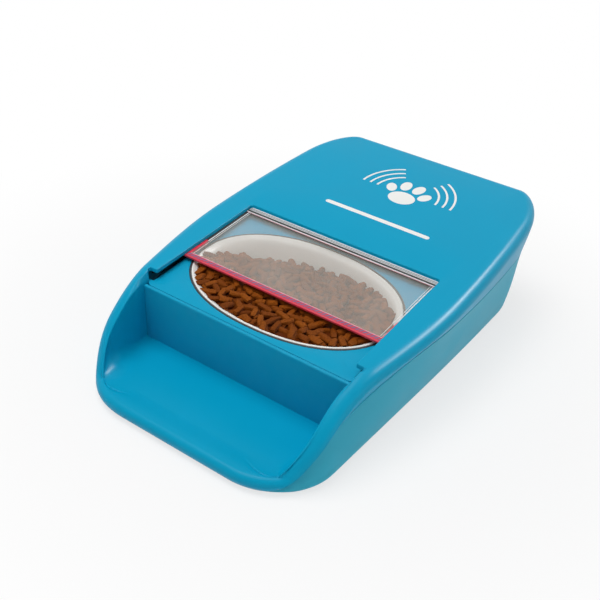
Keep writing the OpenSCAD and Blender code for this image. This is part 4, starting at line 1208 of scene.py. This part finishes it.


# Wiper at the back edge of the opening: a holder with fine pale ribs on a dark bed, the dark between the
# ribs painted shade in their grooves, and its blade
WIPER_N, WIPER_HALF = (5.65, 6.15), 88.6
RIBS = {0: (117.4, 118.2), 2: (120.5, 121.2), 3: (121.9, 122.6), 4: (123.3, 134)}
holder = slab("wiper_bed", (-WIPER_HALF, 118.0, WIPER_N[0]), (WIPER_HALF, 133.6, WIPER_N[0] + 0.2),
              FINISH["dark_plastic"], 0.05, 2)
hand_over(holder, "housing", "dark_plastic", "wiper_holder")
for k, (low, high) in RIBS.items():
    rib = slab(f"wiper_rib_{k}", (-WIPER_HALF, low, WIPER_N[0]), (WIPER_HALF, high, WIPER_N[1]),
               FINISH["pale_plastic"], 0.15, 2)
    hand_over(rib, "housing", "pale_plastic", "wiper_holder")
blade = slab("wiper_lip", (-86.5, 118.75, 5.5), (86.5, 119.95, 6.3), FINISH["black_rubber"], 0.3, 3)
hand_over(blade, "housing", "black_rubber", "wiper_blade")
pink = slab("wiper_front_line", (-88, 116.9, 5.62), (88, 117.35, 5.9), PINK_LINE, 0.08, 2)
hand_over(pink, "housing", "pale_plastic")


# Kibble: rods strewn over a heap that fills the bowl to its front rim and falls away to the back
def rear_share(y):
    return smooth((y + 10) / 50)


def heap_height(x, y):
    fall = (9 - 0.09 * x) * rear_share(y)
    rise = 1.2 * smooth((oval_level(x, y, BOWL_A, BOWL_B) - 0.65) / 0.3) * smooth((12 - y) / 30)
    return -2.9 - fall + rise + 0.5 * sin(x / 9 + 1.3) * cos(y / 8)


# How far the bowl's inner wall stands in at a depth, and a point pressed back inside it
def wall_inset(n, part):
    depths = [-p[2] for p in INNER_WALL]
    return float(np.interp(-n, depths, [p[part] for p in INNER_WALL]))


def kept_inside(x, y, n, margin):
    a = BOWL_A + wall_inset(n, 0) - margin
    b = BOWL_B + wall_inset(n, 1) - margin
    share = min(1, 1 / max(oval_level(x, y, a, b), 1e-6))
    return x * share, y * share


HEAP_RINGS, HEAP_SIDES = 12, 64


def make_heap():
    points = []
    for j in range(HEAP_RINGS + 1):
        t = j / HEAP_RINGS
        for k in range(HEAP_SIDES):
            x, y = oval_point(BOWL_A * t, BOWL_B * t, 2 * pi * k / HEAP_SIDES)
            n = heap_height(x, y) - 1
            x, y = kept_inside(x, y, n, 0.3 + 3.5 * rear_share(y))
            points.append(on_slope(x, BOWL_S + y, n))
    obj = raw_object("kibble_heap", points, [], ring_walls(HEAP_RINGS + 1, HEAP_SIDES))
    tidy_mesh(obj, face_up=True)
    return obj


# Which socket of a random value holds a plain number
RANDOM, LEAST, NUMBER = "FunctionNodeRandomValue", 2, 1
ROD_TURN, ROD_SIZE = ((1.3, -0.2, 0), (1.84, 0.2, 6.283)), ((0.86, 0.86, 0.6), (1.1, 1.1, 1.15))
LAYERS, LAYER_TOP, LAYER_STEP, DENSITY, LEAST_SHADE = 3, 0.002, 0.0024, 90000, 0.35
ROD_SIDES, ROD_STEPS, END_POWER, END_NARROW, DENT = 8, 4, 8.0, -50, 0.0012


# A narrow-ended rod, strewn in layers with a turn, a size and a shade of its own, then dented
def kibble_tree():
    tree, start, end = new_group(
        "kibble_strewing", "GeometryNodeTree",
        [("Geometry", GEOMETRY, None), ("Spacing", FLOAT, 0.0048), ("Thickness", FLOAT, 0.0027),
         ("Length", FLOAT, 0.0125), ("Seed", WHOLE, 7), ("Finish", PAINT, None)],
        [("Geometry", GEOMETRY)])
    rod = add_node(tree, "GeometryNodeMeshCylinder", {
        "Vertices": ROD_SIDES, "Side Segments": ROD_STEPS,
        "Radius": start["Thickness"], "Depth": start["Length"]}).outputs["Mesh"]
    parts = position_parts(tree)
    reach = math_node(tree, "DIVIDE", math_node(tree, "ABSOLUTE", parts["Z"]), start["Length"])
    narrow = math_node(tree, "MULTIPLY", math_node(tree, "POWER", reach, END_POWER), END_NARROW)
    narrow = math_node(tree, "ADD", narrow, 1.0)
    shape = made(tree, "ShaderNodeCombineXYZ", {
        "X": math_node(tree, "MULTIPLY", parts["X"], narrow),
        "Y": math_node(tree, "MULTIPLY", parts["Y"], narrow), "Z": parts["Z"]})
    rounded = made(tree, "GeometryNodeSetPosition", {"Geometry": rod, "Position": shape})
    joined = tree.nodes.new("GeometryNodeJoinGeometry")
    for layer in range(LAYERS):
        seed = math_node(tree, "ADD", start["Seed"], 11 * layer)
        strew = add_node(tree, "GeometryNodeDistributePointsOnFaces", {
            "Mesh": start["Geometry"], "Distance Min": start["Spacing"], "Density Max": DENSITY,
            "Seed": seed}, distribute_method="POISSON").outputs["Points"]
        lower = made(tree, "GeometryNodeSetPosition", {
            "Geometry": strew, "Offset": (0, 0, LAYER_TOP - LAYER_STEP * layer)})
        draws = []
        for (least, most), further in ((ROD_TURN, 3), (ROD_SIZE, 5)):
            draws.append(made(tree, RANDOM, {
                "Min": least, "Max": most, "Seed": math_node(tree, "ADD", seed, further)},
                data_type="FLOAT_VECTOR"))
        scatter = made(tree, "GeometryNodeInstanceOnPoints", {
            "Points": lower, "Instance": rounded, "Rotation": draws[0], "Scale": draws[1]})
        last_seed = math_node(tree, "ADD", seed, 9)
        tone = add_node(tree, RANDOM, {LEAST: LEAST_SHADE, "Seed": last_seed}, data_type="FLOAT")
        store = add_node(tree, "GeometryNodeStoreNamedAttribute", data_type="FLOAT", domain="INSTANCE")
        feed(tree, store, {"Name": "bake_shade", "Geometry": scatter, "Value": tone.outputs[NUMBER]})
        feed(tree, joined, {0: store.outputs[0]})
    real = made(tree, "GeometryNodeRealizeInstances", {0: joined.outputs[0]})
    lump = add_node(tree, "ShaderNodeTexNoise", {"Scale": 420, "Detail": 2}).outputs["Color"]
    push = made(tree, "ShaderNodeVectorMath", {0: lump, 1: (DENT,) * 3, 2: (-DENT / 2,) * 3},
                operation="MULTIPLY_ADD")
    dent = made(tree, "GeometryNodeSetPosition", {"Geometry": real, "Offset": push})
    put_out(tree, made(tree, "GeometryNodeSetShadeSmooth", {"Geometry": dent}), start, end)
    return tree


heap = make_heap()
kibble = bpy.data.objects.new("kibble", heap.data.copy())
bpy.context.scene.collection.objects.link(kibble)
grow(kibble, kibble_tree(), {
    "Spacing": 0.0065, "Thickness": 0.0027, "Length": 0.0122, "Seed": 7, "Finish": CRUMB})


def from_slope(q):
    back, up = q[1] - RISER_Y, q[2] - RISER_Z
    return q[0], back * cos(SLOPE) + up * sin(SLOPE), up * cos(SLOPE) - back * sin(SLOPE)


# How high the rods reach and how far they keep from the wall; then where painted shade starts above the
# heap's top, how far down it grows and how dark it gets
FOOD_TOP, FOOD_MARGIN, LIGHT_ABOVE, DARK_BELOW, DARKEST = 0.45, 0.15, 2.2, 4.5, 0.8


# Keeps the rods within the bowl and paints shade on them further down between the others, darkening their
# tone with depth below the heap's top
def press_into_bowl(mesh):
    rod_tones_and_shade = mesh.attributes["bake_shade"].data
    for vertex in mesh.vertices:
        x, s, n = from_slope([v / MM for v in vertex.co])
        n = min(n, FOOD_TOP)
        x, y = kept_inside(x, s - BOWL_S, n, FOOD_MARGIN)
        vertex.co = [v * MM for v in on_slope(x, BOWL_S + y, n)]
        depth = max(0, min(1, (heap_height(x, y) + LIGHT_ABOVE - n) / DARK_BELOW))
        rod_tones_and_shade[vertex.index].value *= 1 - DARKEST * depth


press_into_bowl(kibble.data)
kibble.data.set_sharp_from_angle(angle=radians(50))
# The heap has no tone of its own, so the crumb finish gives it the darkest brown: a dark bed that paints the
# shade in the gaps between the rods
heap.data.materials.append(CRUMB)
for piece in (heap, kibble):
    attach(piece, "housing")


# Floor, world and lamps; rays that look straight at a surface see plain white
def seen_directly(tree):
    path = tree.nodes.new("ShaderNodeLightPath").outputs
    seen = math_node(tree, "MAXIMUM", path["Is Camera Ray"], path["Is Glossy Ray"])
    return math_node(tree, "MAXIMUM", seen, path["Is Transmission Ray"])


def mixed(tree, share, first, second):
    return made(tree, "ShaderNodeMixShader", {0: share, 1: first, 2: second})


FLOOR_HALF, FLOOR_GREY, SHADOW_NEAR, SHADOW_FAR = 6000, 0.86, 0.16, 0.42
SKY_STRENGTH, WHITE = 0.36, (1, 1, 1, 1)


# A plain floor that keeps the shadow, turns white further out and is open from below
def make_floor():
    h = FLOOR_HALF
    obj = raw_object("studio_floor", [(-h, -h, 0), (h, -h, 0), (h, h, 0), (-h, h, 0)], [], [(0, 1, 2, 3)])
    material, tree, shader, place = new_finish("studio_floor")
    feed(tree, shader, {"Base Color": (FLOOR_GREY, FLOOR_GREY, FLOOR_GREY, 1), "Roughness": 0.9,
                        "Specular IOR Level": 0})
    glow = made(tree, "ShaderNodeEmission", {"Color": WHITE, "Strength": 1})
    away = add_node(tree, "ShaderNodeVectorMath", {0: place}, operation="LENGTH").outputs["Value"]
    far = made(tree, "ShaderNodeMapRange", {
        "Value": away, "From Min": SHADOW_NEAR, "From Max": SHADOW_FAR, "To Min": 0.72, "To Max": 1},
        interpolation_type="SMOOTHSTEP")
    share = math_node(tree, "MULTIPLY", seen_directly(tree), far)
    top = mixed(tree, share, shader.outputs[0], glow)
    below = tree.nodes.new("ShaderNodeNewGeometry").outputs["Backfacing"]
    open_below = tree.nodes.new("ShaderNodeBsdfTransparent").outputs[0]
    feed(tree, tree.nodes["Material Output"], {"Surface": mixed(tree, below, top, open_below)})
    obj.data.materials.append(material)


def make_world():
    world = bpy.data.worlds.new("studio")
    world.use_nodes = True
    bpy.context.scene.world = world
    tree = world.node_tree
    sky = tree.nodes["Background"]
    feed(tree, sky, {"Color": WHITE, "Strength": SKY_STRENGTH})
    white = made(tree, "ShaderNodeBackground", {"Color": WHITE, "Strength": 1})
    whole = mixed(tree, seen_directly(tree), sky.outputs[0], white)
    feed(tree, tree.nodes["World Output"], {"Surface": whole})


def add_lamp(name, spot, target, size, power, only_gloss=False):
    lamp = bpy.data.lights.new(name, "AREA")
    lamp.shape = "RECTANGLE"
    lamp.size, lamp.size_y = size
    lamp.energy = power
    obj = bpy.data.objects.new(name, lamp)
    bpy.context.scene.collection.objects.link(obj)
    way = Vector(target) - Vector(spot)
    turn = way.to_track_quat("-Z", "Y").to_matrix().to_4x4()
    obj.matrix_world = Matrix.Translation(spot) @ turn
    obj.visible_diffuse = not only_gloss


make_floor()
make_world()
add_lamp("overhead_box", (-0.25, -0.25, 1.48), (0, 0, 0.05), (0.9, 0.9), 15)
add_lamp("low_right_box", (1.3, -0.1, 0.08), (0, 0, 0.05), (1.2, 0.12), 2.4)
add_lamp("edge_box", (0.7, 0.82, 1.05), (0.05, 0, 0.05), (0.7, 0.1), 46, only_gloss=True)

bpy.context.scene.view_settings.view_transform = "Standard"
